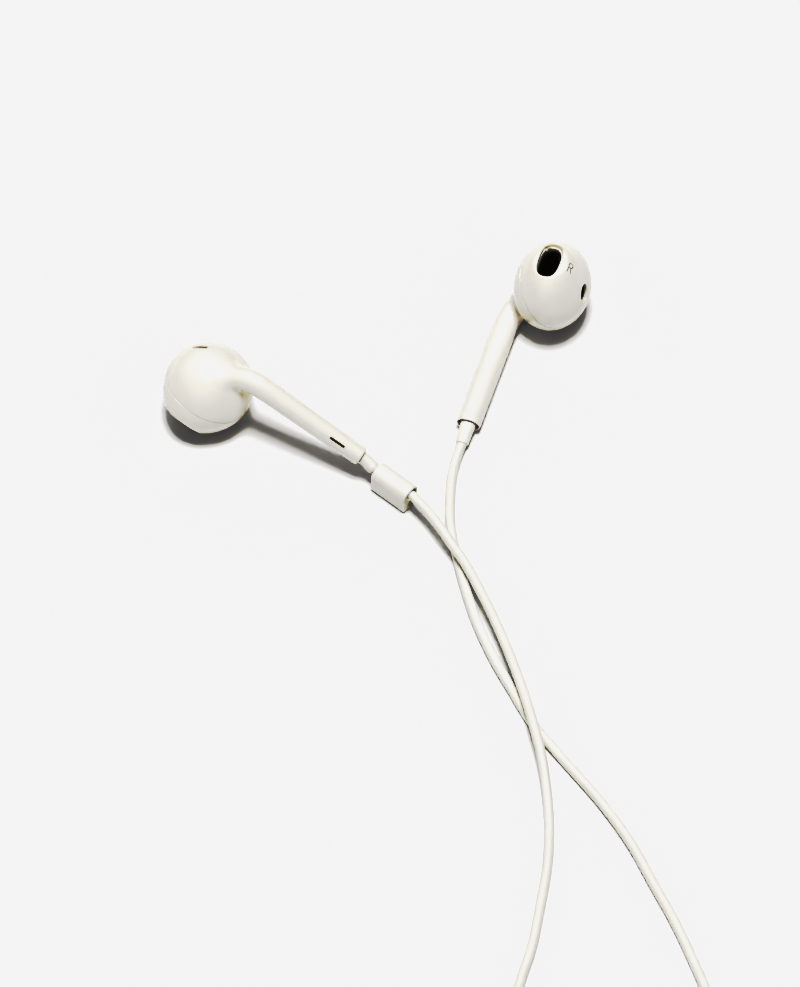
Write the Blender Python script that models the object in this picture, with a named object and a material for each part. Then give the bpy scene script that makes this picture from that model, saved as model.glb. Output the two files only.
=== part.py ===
"""Wired earphones laid out on a flat surface.

Two stem-type earbuds hang on a Y-shaped cable.  The left lead carries a
sliding cinch, the right lead carries a three-button remote, both leads meet
in a moulded splitter, and the main cable is laid in a flat coil with its
3.5 mm four-contact plug inside the coil.

Frame: metres, +Z up, z = 0 is the resting surface.  The origin is the centre
of the splitter's flat underside.

Each earbud is drawn in its own bud frame, in millimetres:
    p  the way the sound port faces
    q  towards the ear
    s  up along the stem; s = 0 is the open end of the stem
"""
import math

import bmesh
import bpy
from mathutils import Matrix, Vector

MM = 0.001

# ----------------------------------------------------------------- dimensions
# layout point that becomes the origin of the part (splitter centre)
SPLITTER_AT = (-32.0, -207.6)
SPLITTER_HEADING = 172.0            # direction of the single-cable end, degrees

CABLE_R = 0.92                      # leads and main cable, radius
CABLE_SIDES = 7                     # sides of the plain cable solids
COIL_STEPS = 26                     # segments in one turn of the coil
CABLE_Z = 0.95                      # centre height of a cable lying down
OVER_Z = 3.22                       # centre height where one lead crosses another
SOCKET_R = 1.25                     # mouldings are bored this wide for a cable
JOIN = 0.25                         # half of the clearance at a pivot

# head of an earbud (ellipsoid about HEAD_C with half axes HEAD_A)
HEAD_C = (5.65, 6.98, 29.64)
HEAD_A = (8.36, 7.07, 8.25)
WALL = 0.90
SEAM_N = (0.724, 0.689, -0.048)     # axis of the driver, normal of the seam
SEAM_GAP = 0.12                     # each shell stands back this far
FACET_P = 8.11                      # flat face around the port, from HEAD_C
CAVITY_P = 5.90                     # end of the cavity behind the port wall
NOZZLE_SWELL = 0.085
NOZZLE_ANGLE = 32.0
PORT_AT = (-0.34, 0.50)             # q, s of the port centre, from HEAD_C
PORT_HALF = (2.00, 3.60)            # half width, half height
SIDE_PORT_AT = (2.20, 6.72, -1.25)  # from HEAD_C
SIDE_PORT_ALONG = (0.837, -0.132, 0.530)
SIDE_PORT_HALF = (1.12, 1.70)
REAR_VENT_AT = (-5.2, -2.8, 5.75)   # from HEAD_C
REAR_VENT_ALONG = (-0.46, -0.28, -0.84)
REAR_VENT_HALF = (1.45, 0.32)

# stem: (centre p, q, s, half thickness in p, half width in q)
STEM = (
    (0.00, 0.00, 0.0, 1.85, 2.30),
    (0.00, 0.00, 6.0, 1.93, 2.30),
    (0.00, 0.00, 12.0, 2.02, 2.32),
    (0.00, 0.00, 17.5, 2.10, 2.34),
    (0.00, 0.02, 21.0, 2.18, 2.36),
    (0.06, 0.12, 23.2, 2.30, 2.40),
    (0.50, 0.68, 25.4, 2.50, 2.46),
    (1.40, 1.82, 27.6, 2.60, 2.50),
    (2.60, 3.25, 29.6, 2.50, 2.40),
)
STEM_BORE = (1.40, 1.85)
STEM_SLIT_S = (3.6, 6.8)
STEM_SLIT_P = 0.40
STEM_SLIT_HALF = 0.24

# placing of the buds: stem end, bearing and slope of the stem, roll about it
RIGHT_BUD = dict(end=(12.36, 13.32, 2.18), bearing=72.29, slope=0.25,
                 roll=-2.45, pivot=(11.27, 9.68, 1.55))
LEFT_BUD = dict(end=(-7.00, 4.76, 5.07), bearing=151.33, slope=21.18,
                roll=-118.71, pivot=(-4.70, 2.80, 4.00))

# cinch on the left lead; the lead is an arc there so the cinch can travel
ARC_R = 38.0
ARC_HEADING = -33.0
ARC_LENGTH = 17.2
SLIDER_GAP = 0.8
SLIDER_L = 8.0
SLIDER_W = 4.0
SLIDER_TOP = 6.0
SLIDER_BOTTOM = 0.15

# leads: (x, y, z) of the centre line
LEFT_LEAD = (
    (9.45, -13.1, 3.45), (11.8, -16.9, OVER_Z), (14.5, -22.7, OVER_Z),
    (17.2, -29.1, OVER_Z), (20.3, -37.7, OVER_Z), (22.9, -46.3, OVER_Z),
    (24.2, -51.6, OVER_Z), (25.4, -56.6, 2.60), (26.3, -62.4, 1.50),
    (26.9, -70.6, CABLE_Z), (26.6, -79.2, CABLE_Z), (25.3, -87.8, CABLE_Z),
    (23.8, -96.3, CABLE_Z), (21.4, -104.9, CABLE_Z), (19.8, -114.0, CABLE_Z),
    (21.6, -128.0, CABLE_Z), (24.3, -145.0, CABLE_Z),
    (24.8, -160.0, CABLE_Z), (21.5, -178.0, CABLE_Z),
    (12.5, -192.5, CABLE_Z), (-1.0, -202.4, CABLE_Z),
    (-13.0, -206.6, CABLE_Z), (-20.0, -207.7, 1.25),
)
RIGHT_LEAD_UPPER = (
    (10.4, 7.3, 1.15), (9.5, 3.4, CABLE_Z), (9.1, -2.0, CABLE_Z),
    (9.1, -6.3, CABLE_Z), (9.6, -10.6, CABLE_Z), (10.5, -14.9, CABLE_Z),
    (11.7, -20.2, CABLE_Z), (13.8, -27.7, CABLE_Z), (17.2, -36.3, CABLE_Z),
    (20.4, -42.7, CABLE_Z), (24.0, -49.6, CABLE_Z), (29.1, -56.7, CABLE_Z),
    (36.3, -66.3, CABLE_Z), (41.6, -74.9, CABLE_Z), (45.7, -83.5, CABLE_Z),
    (49.7, -92.0, CABLE_Z), (53.1, -100.6, CABLE_Z), (55.6, -107.4, 1.30),
)
RIGHT_LEAD_LOWER = (
    (67.2, -151.0, 1.30), (68.6, -160.0, CABLE_Z), (66.5, -178.0, CABLE_Z),
    (56.5, -193.5, CABLE_Z), (38.5, -205.0, CABLE_Z),
    (15.0, -211.6, CABLE_Z), (-8.0, -213.0, CABLE_Z),
    (-19.0, -211.3, 1.25),
)

REMOTE_TOP = (57.4, -112.6)
REMOTE_END = (65.3, -144.6)
REMOTE_W = 6.4
REMOTE_H = 4.4
REMOTE_SPLIT = 2.07                 # height of the joint between its shells
REMOTE_WALL = 0.9
BUTTONS = (("volume_up_button", 9.6, 7.6), ("center_button", 0.0, 9.2),
           ("volume_down_button", -9.6, 7.6))
BUTTON_W = 3.6
BUTTON_GAP = 0.35                   # clears the opening all round

TWIN_OFFSET = 1.12

COIL_C = (-25.0, -158.0)
COIL_TURNS = 3.25
COIL_R = 46.7
COIL_PITCH = 2.5
COIL_LEADIN_TURNS = 0.16
COIL_TAIL_R = 14.0
COIL_TAIL_TURN = 115.0

PLUG_RELIEF_L = 9.0
PLUG_BODY_L = 14.0
PLUG_BODY_R = 2.5
JACK_R = 1.75
JACK_CORE_R = 0.50
JACK_BORE_R = 0.80


# -------------------------------------------------------------------- helpers
def clear_scene():
    for ob in list(bpy.data.objects):
        bpy.data.objects.remove(ob, do_unlink=True)
    for me in list(bpy.data.meshes):
        bpy.data.meshes.remove(me)


def material(name, colour, roughness, metallic=0.0):
    mat = bpy.data.materials.get(name)
    if mat:
        return mat
    mat = bpy.data.materials.new(name)
    mat.use_nodes = True
    bsdf = mat.node_tree.nodes["Principled BSDF"]
    bsdf.inputs["Base Color"].default_value = (*colour, 1.0)
    bsdf.inputs["Roughness"].default_value = roughness
    bsdf.inputs["Metallic"].default_value = metallic
    return mat


def at(x, y, z=0.0):
    """A layout point in millimetres as a point of the part in metres."""
    return Vector((x - SPLITTER_AT[0], y - SPLITTER_AT[1], z)) * MM


def heading(deg):
    a = math.radians(deg)
    return Vector((math.cos(a), math.sin(a), 0.0))


def add_object(name, bm, mat, parent=None, location=None, smooth=40.0):
    bmesh.ops.recalc_face_normals(bm, faces=bm.faces)
    me = bpy.data.meshes.new(name)
    bm.to_mesh(me)
    bm.free()
    me.shade_smooth()
    me.set_sharp_from_angle(angle=math.radians(smooth))
    ob = bpy.data.objects.new(name, me)
    bpy.context.collection.objects.link(ob)
    if mat:
        me.materials.append(mat)
    if parent:
        ob.parent = parent
    if location is not None:
        ob.location = location
    return ob


def add_empty(name, matrix, parent=None):
    ob = bpy.data.objects.new(name, None)
    ob.empty_display_size = 2 * MM
    bpy.context.collection.objects.link(ob)
    if parent:
        ob.parent = parent
    ob.matrix_local = matrix
    return ob


def boolean(ob, cutter, operation="DIFFERENCE"):
    cutter.hide_render = True
    cutter.display_type = "WIRE"
    mod = ob.modifiers.new(operation.lower() + "_" + cutter.name, "BOOLEAN")
    mod.operation = operation
    mod.solver = "EXACT"
    mod.object = cutter
    return mod


def ring_faces(bm, a, b):
    n = len(a)
    for i in range(n):
        j = (i + 1) % n
        bm.faces.new((a[i], a[j], b[j], b[i]))


def loft(rings, cap_start=True, cap_end=True):
    """Skin closed rings of points (metres) of equal count."""
    bm = bmesh.new()
    vs = [[bm.verts.new(p) for p in ring] for ring in rings]
    for a, b in zip(vs, vs[1:]):
        ring_faces(bm, a, b)
    if cap_start:
        bm.faces.new(list(reversed(vs[0])))
    if cap_end:
        bm.faces.new(vs[-1])
    return bm


def revolve(profile, segments):
    """Turn a closed (r, z) profile in millimetres about z."""
    bm = bmesh.new()
    cols = []
    for i in range(segments):
        a = 2 * math.pi * i / segments
        col = []
        for r, z in profile:
            if r <= 1e-9:
                col.append(None)
            else:
                col.append(bm.verts.new(Vector((r * math.cos(a),
                                                r * math.sin(a), z)) * MM))
        cols.append(col)
    poles = [bm.verts.new(Vector((0, 0, z)) * MM) if r <= 1e-9 else None
             for r, z in profile]
    m = len(profile)
    for i in range(segments):
        a, b = cols[i], cols[(i + 1) % segments]
        for k in range(m):
            l = (k + 1) % m
            quad = [a[k] or poles[k], b[k] or poles[k],
                    b[l] or poles[l], a[l] or poles[l]]
            face = []
            for v in quad:
                if v not in face:
                    face.append(v)
            if len(face) >= 3:
                bm.faces.new(face)
    return bm


def prism(outline, z0, z1):
    """Extrude a closed (x, y) outline in millimetres from z0 to z1."""
    return loft([[Vector((x, y, z)) * MM for x, y in outline]
                 for z in (z0, z1)])


def oval(half_x, half_y, count, power=2.0):
    pts = []
    for i in range(count):
        a = 2 * math.pi * i / count
        c, s = math.cos(a), math.sin(a)
        pts.append((half_x * math.copysign(abs(c) ** (2 / power), c),
                    half_y * math.copysign(abs(s) ** (2 / power), s)))
    return pts


def stadium(half_x, half_y, per_end):
    """Rounded slot, round ends on +x and -x, radius half_y."""
    pts = []
    for i in range(per_end + 1):
        a = -math.pi / 2 + math.pi * i / per_end
        pts.append((half_x - half_y + half_y * math.cos(a),
                    half_y * math.sin(a)))
    for i in range(per_end + 1):
        a = math.pi / 2 + math.pi * i / per_end
        pts.append((-half_x + half_y + half_y * math.cos(a),
                    half_y * math.sin(a)))
    return pts


def rounded_rect(half_x, half_y, radius, per_corner):
    pts = []
    for cx, cy, start in ((1, 1, 0), (-1, 1, 90), (-1, -1, 180), (1, -1, 270)):
        for i in range(per_corner + 1):
            a = math.radians(start + 90.0 * i / per_corner)
            pts.append((cx * (half_x - radius) + radius * math.cos(a),
                        cy * (half_y - radius) + radius * math.sin(a)))
    return pts


def spline(points, step):
    """Centripetal spline through the points, resampled about every step."""
    pts = [Vector(p) for p in points]
    ext = [pts[0] * 2 - pts[1]] + pts + [pts[-1] * 2 - pts[-2]]
    fine = []
    for i in range(1, len(ext) - 2):
        p0, p1, p2, p3 = ext[i - 1:i + 3]
        t0 = 0.0
        t1 = t0 + (p1 - p0).length ** 0.5
        t2 = t1 + (p2 - p1).length ** 0.5
        t3 = t2 + (p3 - p2).length ** 0.5
        for k in range(12):
            t = t1 + (t2 - t1) * k / 12
            a1 = p0 * ((t1 - t) / (t1 - t0)) + p1 * ((t - t0) / (t1 - t0))
            a2 = p1 * ((t2 - t) / (t2 - t1)) + p2 * ((t - t1) / (t2 - t1))
            a3 = p2 * ((t3 - t) / (t3 - t2)) + p3 * ((t - t2) / (t3 - t2))
            b1 = a1 * ((t2 - t) / (t2 - t0)) + a2 * ((t - t0) / (t2 - t0))
            b2 = a2 * ((t3 - t) / (t3 - t1)) + a3 * ((t - t1) / (t3 - t1))
            fine.append(b1 * ((t2 - t) / (t2 - t1))
                        + b2 * ((t - t1) / (t2 - t1)))
    fine.append(pts[-1])
    length = sum((b - a).length for a, b in zip(fine, fine[1:]))
    count = max(2, round(length / step))
    out, walked, k = [fine[0]], 0.0, 0
    for n in range(1, count):
        want = length * n / count
        while walked + (fine[k + 1] - fine[k]).length < want:
            walked += (fine[k + 1] - fine[k]).length
            k += 1
        seg = (fine[k + 1] - fine[k])
        out.append(fine[k] + seg * ((want - walked) / seg.length))
    out.append(fine[-1])
    return out


def sweep(points, radii, sides, side_hint=Vector((0, 0, 1)), scale=MM):
    """Tube along points (millimetres).  radii: one number, or one (a, b) or
    number for each point; a is measured along side_hint."""
    pts = [Vector(p) for p in points]
    n = len(pts)
    rings = []
    for i, p in enumerate(pts):
        if i == 0:
            t = pts[1] - pts[0]
        elif i == n - 1:
            t = pts[-1] - pts[-2]
        else:
            t = ((pts[i + 1] - p).normalized() + (p - pts[i - 1]).normalized())
        t.normalize()
        u = (side_hint - t * side_hint.dot(t)).normalized()
        v = t.cross(u)
        r = radii[i] if isinstance(radii, (list, tuple)) else radii
        ra, rb = r if isinstance(r, (list, tuple)) else (r, r)
        rings.append([(p + u * (ra * math.cos(2 * math.pi * k / sides))
                       + v * (rb * math.sin(2 * math.pi * k / sides))) * scale
                      for k in range(sides)])
    return loft(rings)


def layout(points):
    """Layout coordinates to part coordinates, both in millimetres."""
    return [Vector((p[0] - SPLITTER_AT[0], p[1] - SPLITTER_AT[1], p[2]))
            for p in points]


# ------------------------------------------------------------------ materials
WHITE = material("shell_white", (0.86, 0.84, 0.79), 0.22)
CABLE_WHITE = material("cable_white", (0.80, 0.79, 0.75), 0.42)
RELIEF_WHITE = material("relief_white", (0.82, 0.81, 0.78), 0.38)
SLIDER_GREY = material("slider_grey", (0.62, 0.60, 0.55), 0.45)
MESH_BLACK = material("mesh_black", (0.015, 0.015, 0.015), 0.40, 0.6)
STEEL = material("steel", (0.55, 0.55, 0.56), 0.30, 1.0)
MAGNET = material("magnet_nickel", (0.62, 0.61, 0.58), 0.25, 1.0)
COPPER = material("copper", (0.72, 0.33, 0.17), 0.35, 1.0)
FILM = material("diaphragm_film", (0.70, 0.68, 0.55), 0.30)
FOAM = material("foam_dark", (0.05, 0.05, 0.05), 0.95)
BOARD = material("board_green", (0.03, 0.16, 0.07), 0.45)
FRAME = material("driver_frame_black", (0.04, 0.04, 0.045), 0.5)
WIRE = material("wire_enamel", (0.50, 0.12, 0.08), 0.4)
CONTACT = material("plug_contact", (0.72, 0.71, 0.69), 0.18, 1.0)
INSULATOR = material("plug_insulator", (0.83, 0.82, 0.79), 0.4)


# -------------------------------------------------------------------- earbuds
def bud_matrix(bud):
    """Axes p, q', s of the bud frame as columns; q' makes it right-handed."""
    b, e, r = (math.radians(bud[k]) for k in ("bearing", "slope", "roll"))
    s = Vector((math.cos(e) * math.cos(b), math.cos(e) * math.sin(b),
                math.sin(e)))
    up = (Vector((0, 0, 1)) - s * s.z).normalized()
    side = s.cross(up)
    p = up * math.cos(r) + side * math.sin(r)
    q = s.cross(p)
    return Matrix(((p.x, q.x, s.x), (p.y, q.y, s.y), (p.z, q.z, s.z)))


def head_radius(d, half, swell):
    """Distance from the head centre to its skin along the unit direction d."""
    r = 1.0 / math.sqrt(sum((d[i] / half[i]) ** 2 for i in range(3)))
    if swell:
        port = Vector((FACET_P, PORT_AT[0], PORT_AT[1])).normalized()
        off = math.degrees(math.acos(max(-1.0, min(1.0, port.dot(d)))))
        r *= 1.0 + NOZZLE_SWELL * math.exp(-(off / NOZZLE_ANGLE) ** 2)
    return r


def build_bud(tag, mirror, bud):
    m3 = bud_matrix(bud)
    end = at(*bud["end"])
    pivot = at(*bud["pivot"])
    frame = add_empty("earbud_pivot_" + tag,
                      Matrix.Translation(pivot) @ m3.to_4x4())
    offset = m3.transposed() @ (end - pivot)     # stem end seen from the pivot

    def loc(p, q, s):
        """Bud coordinates to metres in the bud frame."""
        return Vector((p, mirror * q, s)) * MM

    c = Vector(HEAD_C)
    axis = Vector(SEAM_N).normalized()
    e1 = (Vector((0, 0, 1)) - axis * axis.z).normalized()
    e2 = axis.cross(e1)

    def skin_ring(phi, half, swell, count, clamp=None):
        ring = []
        for i in range(count):
            a = 2 * math.pi * i / count
            d = (axis * math.cos(phi)
                 + (e1 * math.cos(a) + e2 * math.sin(a)) * math.sin(phi))
            v = d * head_radius(d, half, swell)
            if clamp is not None and v.x > clamp:
                v.x = clamp
            ring.append(c + v)
        return ring

    def shift(ring, along):
        return [v + axis * along for v in ring]

    inner_half = tuple(h - WALL for h in HEAD_A)
    count = 24
    steps = 7

    # front shell: domed cup with the port, closed at the seam
    bm = bmesh.new()
    outer, inner = [], []
    for k in range(1, steps + 1):
        phi = math.pi / 2 * k / steps
        outer.append([bm.verts.new(loc(*v)) for v in
                      shift(skin_ring(phi, HEAD_A, True, count), SEAM_GAP)])
        inner.append([bm.verts.new(loc(*v)) for v in
                      shift(skin_ring(phi, inner_half, False, count, CAVITY_P),
                            SEAM_GAP)])
    for rings, half, swell, clamp in ((outer, HEAD_A, True, None),
                                      (inner, inner_half, False, CAVITY_P)):
        tip = axis * head_radius(axis, half, swell)
        if clamp is not None and tip.x > clamp:
            tip.x = clamp
        pole = bm.verts.new(loc(*(c + tip + axis * SEAM_GAP)))
        for i in range(count):
            bm.faces.new((pole, rings[0][i], rings[0][(i + 1) % count]))
        for a, b in zip(rings, rings[1:]):
            ring_faces(bm, a, b)
    ring_faces(bm, outer[-1], inner[-1])
    bmesh.ops.recalc_face_normals(bm, faces=bm.faces)
    cut = bmesh.ops.bisect_plane(
        bm, geom=bm.verts[:] + bm.edges[:] + bm.faces[:], dist=1e-7,
        plane_co=loc(c.x + FACET_P, 0, 0), plane_no=(1, 0, 0),
        clear_outer=True)
    rim = [g for g in cut["geom_cut"] if isinstance(g, bmesh.types.BMEdge)]
    bmesh.ops.holes_fill(bm, edges=rim, sides=0)
    front = add_object("front_shell_" + tag, bm, WHITE, frame, offset)

    # port through the facet; a slightly squared oval along the stem
    bm = loft([[loc(c.x + p, c.y + PORT_AT[0] + y, c.z + PORT_AT[1] + z)
                for y, z in oval(PORT_HALF[0], PORT_HALF[1], 24, 2.3)]
               for p in (CAVITY_P - 1.2, FACET_P + 1.5)])
    boolean(front, add_object("cut_port_" + tag, bm, None, frame, offset))

    def tangent_frame(point, along):
        """Outward normal and in-plane axes of the head at a point."""
        n = Vector([point[i] / HEAD_A[i] ** 2 for i in range(3)]).normalized()
        t = Vector(along)
        t = (t - n * t.dot(n)).normalized()
        return n, t, n.cross(t)

    def surface_prism(point, along, outline, z0, z1):
        n, t, b = tangent_frame(point, along)
        base = c + Vector(point)
        return loft([[loc(*(base + t * x + b * y + n * z))
                      for x, y in outline] for z in (z0, z1)])

    side_oval = oval(SIDE_PORT_HALF[1], SIDE_PORT_HALF[0], 16)
    bm = surface_prism(SIDE_PORT_AT, SIDE_PORT_ALONG, side_oval, -1.3, 0.8)
    boolean(front, add_object("cut_side_port_" + tag, bm, None, frame, offset))
    bm = surface_prism(SIDE_PORT_AT, SIDE_PORT_ALONG, oval(2.05, 1.45, 16),
                       -1.66, -1.46)
    add_object("side_port_mesh_" + tag, bm, MESH_BLACK, frame, offset)

    # black oval grille behind the port wall
    bm = loft([[loc(c.x + p, c.y + PORT_AT[0] + y, c.z + PORT_AT[1] + z)
                for y, z in oval(2.32, 3.88, 20, 2.3)]
               for p in (CAVITY_P - 0.55, CAVITY_P - 0.30)])
    add_object("port_grille_" + tag, bm, MESH_BLACK, frame, offset)

    # rear shell: half head and stem in one moulding, hollow throughout
    rings = []
    for k in range(steps + 1):
        phi = math.pi / 2 + math.pi / 2 * k / steps
        if k < steps:
            rings.append([loc(*v) for v in
                          shift(skin_ring(phi, HEAD_A, False, count),
                                -SEAM_GAP)])
    bm = bmesh.new()
    vs = [[bm.verts.new(p) for p in ring] for ring in rings]
    for a, b in zip(vs, vs[1:]):
        ring_faces(bm, a, b)
    pole = bm.verts.new(loc(*(c - axis * (head_radius(-axis, HEAD_A, False)
                                          + SEAM_GAP))))
    for i in range(count):
        bm.faces.new((pole, vs[-1][i], vs[-1][(i + 1) % count]))
    bm.faces.new(vs[0])
    rear = add_object("rear_shell_" + tag, bm, WHITE, frame, offset)

    bm = loft([[loc(p + hp * math.cos(2 * math.pi * i / 18),
                    q + hq * math.sin(2 * math.pi * i / 18), s)
                for i in range(18)] for p, q, s, hp, hq in STEM])
    boolean(rear, add_object("join_stem_" + tag, bm, None, frame, offset),
            "UNION")
    rings = [skin_ring(math.pi * k / 12, inner_half, False, 20)
             for k in range(1, 12)]
    bm = bmesh.new()
    vs = [[bm.verts.new(loc(*v)) for v in ring] for ring in rings]
    for a, b in zip(vs, vs[1:]):
        ring_faces(bm, a, b)
    for ring, sign in ((vs[0], 1), (vs[-1], -1)):
        pole = bm.verts.new(loc(*(c + axis * sign
                                  * head_radius(axis * sign, inner_half,
                                                False))))
        for i in range(20):
            bm.faces.new((pole, ring[i], ring[(i + 1) % 20]))
    boolean(rear, add_object("cut_cavity_" + tag, bm, None, frame, offset))
    bm = loft([[loc(STEM_BORE[0] * math.cos(2 * math.pi * i / 14),
                    STEM_BORE[1] * math.sin(2 * math.pi * i / 14), s)
                for i in range(14)] for s in (-1.0, 20.6)])
    boolean(rear, add_object("cut_bore_" + tag, bm, None, frame, offset))
    duct = [Vector((0.05, 0.05, 19.6)), Vector((0.15, 0.22, 22.8)),
            Vector((0.75, 1.00, 25.3)), Vector((1.70, 2.15, 27.4)),
            Vector((3.00, 3.70, 29.2))]
    bm = sweep([(v.x, mirror * v.y, v.z) for v in duct], 1.05, 10,
               Vector((1, 0, 0)))
    boolean(rear, add_object("cut_duct_" + tag, bm, None, frame, offset))
    bm = surface_prism(REAR_VENT_AT, REAR_VENT_ALONG,
                       stadium(REAR_VENT_HALF[0], REAR_VENT_HALF[1], 5),
                       -1.5, 0.9)
    boolean(rear, add_object("cut_rear_vent_" + tag, bm, None, frame, offset))
    bm = surface_prism(REAR_VENT_AT, REAR_VENT_ALONG, stadium(1.75, 0.6, 5),
                       -1.75, -1.55)
    add_object("rear_vent_mesh_" + tag, bm, MESH_BLACK, frame, offset)

    mid = (STEM_SLIT_S[0] + STEM_SLIT_S[1]) / 2
    half = (STEM_SLIT_S[1] - STEM_SLIT_S[0]) / 2
    bm = loft([[loc(STEM_SLIT_P + x, q, mid + y)
                for y, x in stadium(half, STEM_SLIT_HALF, 4)]
               for q in (-3.2, -1.2)])
    boolean(rear, add_object("cut_slit_" + tag, bm, None, frame, offset))
    bm = loft([[loc(STEM_SLIT_P + x, q, mid + y)
                for y, x in stadium(half + 0.3, 0.45, 4)]
               for q in (-1.30, -1.12)])
    add_object("stem_vent_mesh_" + tag, bm, MESH_BLACK, frame, offset)

    # strain relief: a domed plug in the stem end that bends to the lead
    tail = m3.transposed() @ (pivot - end) / MM
    tail = Vector(tail)
    path, radii = [], []
    a0, a1 = Vector((0, 0, 1.5)), Vector((0, 0, -1.3))
    for k in range(8):
        t = k / 7
        path.append(a0 * (1 - t) ** 2 + a1 * 2 * t * (1 - t) + tail * t * t)
        if k == 0:
            radii.append((0.70, 0.95))
        elif k == 1:
            radii.append((1.05, 1.38))
        else:
            w = (k - 2) / 5
            radii.append((1.14 * (1 - w) + 1.14 * w,
                          1.46 * (1 - w) + 1.16 * w))
    path[-1] = path[-1] - (path[-1] - path[-2]).normalized() * JOIN
    bm = sweep(path, radii, 12, Vector((1, 0, 0)))
    add_object("strain_relief_" + tag, bm, RELIEF_WHITE, frame, offset)

    # wire pair from the relief up the stem to the terminal board
    wire = [Vector((0, 0.5, 2.2)), Vector((0, 0.5, 12.0)),
            Vector((0.10, 0.30, 20.5)), Vector((0.25, 0.35, 23.2)),
            Vector((0.85, 1.10, 25.5)), Vector((2.20, 2.75, 28.0))]
    bm = sweep([(v.x, mirror * v.y, v.z) for v in
                spline([tuple(v) for v in wire], 2.5)], 0.3, 6,
               Vector((1, 0, 0)))
    add_object("lead_wire_" + tag, bm, WIRE, frame, offset)

    # driver: every piece is turned about the seam axis
    z = Vector((axis.x, mirror * axis.y, axis.z))
    y = (Vector((0, 0, 1)) - z * z.z).normalized()
    x = y.cross(z)
    basis = Matrix(((x.x, y.x, z.x), (x.y, y.y, z.y), (x.z, y.z, z.z)))
    drv = add_empty("driver_axis_" + tag,
                    Matrix.Translation(offset + loc(*c)) @ basis.to_4x4(),
                    frame)
    add_object("driver_frame_" + tag, revolve(
        ((5.85, 0.60), (5.85, -1.50), (4.25, -1.50), (4.25, -1.05),
         (5.30, -1.05), (5.30, 0.60)), 20), FRAME, drv)
    add_object("driver_yoke_" + tag, revolve(
        ((0.0, -3.0), (3.9, -3.0), (3.9, -0.55), (3.35, -0.55),
         (3.35, -2.45), (0.0, -2.45)), 16), STEEL, drv)
    add_object("driver_magnet_" + tag, revolve(
        ((0.0, -2.2), (2.35, -2.2), (2.35, -1.2), (0.0, -1.2)), 16),
        MAGNET, drv)
    add_object("driver_top_plate_" + tag, revolve(
        ((0.0, -1.0), (2.42, -1.0), (2.42, -0.55), (0.0, -0.55)), 16),
        STEEL, drv)
    add_object("voice_coil_" + tag, revolve(
        ((2.75, -1.25), (3.02, -1.25), (3.02, -0.08), (2.75, -0.08)), 16),
        COPPER, drv)
    top = [(4.95, 0.25), (4.95, 0.42), (4.0, 0.75), (3.1, 0.45), (2.6, 0.80),
           (1.4, 1.05), (0.0, 1.12)]
    under = [(0.0, 0.94), (1.4, 0.88), (2.6, 0.63), (3.1, 0.25),
             (4.0, 0.56)]
    add_object("diaphragm_" + tag, revolve(tuple(top + under), 18), FILM, drv)
    add_object("driver_gasket_" + tag, revolve(
        ((4.7, 0.98), (5.5, 0.98), (5.5, 1.28), (4.7, 1.28)), 18), FOAM, drv)
    bm = prism([(-1.3, -5.75), (1.3, -5.75), (1.3, -4.35), (-1.3, -4.35)],
               -2.25, -1.85)
    add_object("terminal_board_" + tag, bm, BOARD, drv)
    return pivot


# ---------------------------------------------------------------------- build
clear_scene()
build_bud("right", 1.0, RIGHT_BUD)
build_bud("left", -1.0, LEFT_BUD)

# cinch: closed bore round the left lead, open clip channel for the right one
lp = Vector(LEFT_BUD["pivot"])
start_dir = heading(ARC_HEADING)
centre = lp + Vector((start_dir.y, -start_dir.x, 0)) * ARC_R


def arc_point(length):
    a = math.radians(ARC_HEADING + 90.0) - length / ARC_R
    return Vector((centre.x + ARC_R * math.cos(a),
                   centre.y + ARC_R * math.sin(a), lp.z))


mid_len = SLIDER_GAP + SLIDER_L / 2
mid_pt = arc_point(mid_len)
mid_heading = ARC_HEADING - math.degrees(mid_len / ARC_R)
slider_axis = add_empty("slider_arc_centre",
                        Matrix.Translation(at(centre.x, centre.y, 0)))
place = (Matrix.Translation(at(mid_pt.x, mid_pt.y, 0)
                            - at(centre.x, centre.y, 0))
         @ Matrix.Rotation(math.radians(mid_heading), 4, "Z"))
height = SLIDER_TOP - SLIDER_BOTTOM
outline = rounded_rect(SLIDER_W / 2, height / 2, 1.2, 5)
mid_z = (SLIDER_TOP + SLIDER_BOTTOM) / 2
bm = loft([[Vector((sx, x, mid_z + y)) * MM for x, y in outline]
           for sx in (-SLIDER_L / 2, SLIDER_L / 2)])
slider = add_object("cable_slider", bm, SLIDER_GREY, slider_axis)
slider.matrix_local = place
bm = loft([[Vector((sx, 1.22 * math.cos(2 * math.pi * i / 18),
                    lp.z + 1.22 * math.sin(2 * math.pi * i / 18))) * MM
            for i in range(18)] for sx in (-SLIDER_L, SLIDER_L)])
cutter = add_object("cut_slider_bore", bm, None, slider_axis)
cutter.matrix_local = place
boolean(slider, cutter)
key = []
for i in range(15):
    a = math.radians(40.0 + 280.0 * i / 14)
    key.append((0.98 * math.cos(a), 1.42 + 0.98 * math.sin(a)))
key += [(2.6, 0.79), (2.6, 2.05)]
bm = loft([[Vector((sx, y, z)) * MM for y, z in key]
           for sx in (-SLIDER_L, SLIDER_L)])
cutter = add_object("cut_slider_clip", bm, None, slider_axis)
cutter.matrix_local = place
boolean(slider, cutter)

# splitter: flat moulding, wide where the leads enter, narrow at the cable
sp_dir = heading(SPLITTER_HEADING)
sp_side = Vector((-sp_dir.y, sp_dir.x, 0))


def splitter_point(along, across, z):
    v = (Vector((*SPLITTER_AT, 0)) + sp_dir * along + sp_side * across)
    return (v.x, v.y, z)


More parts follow.
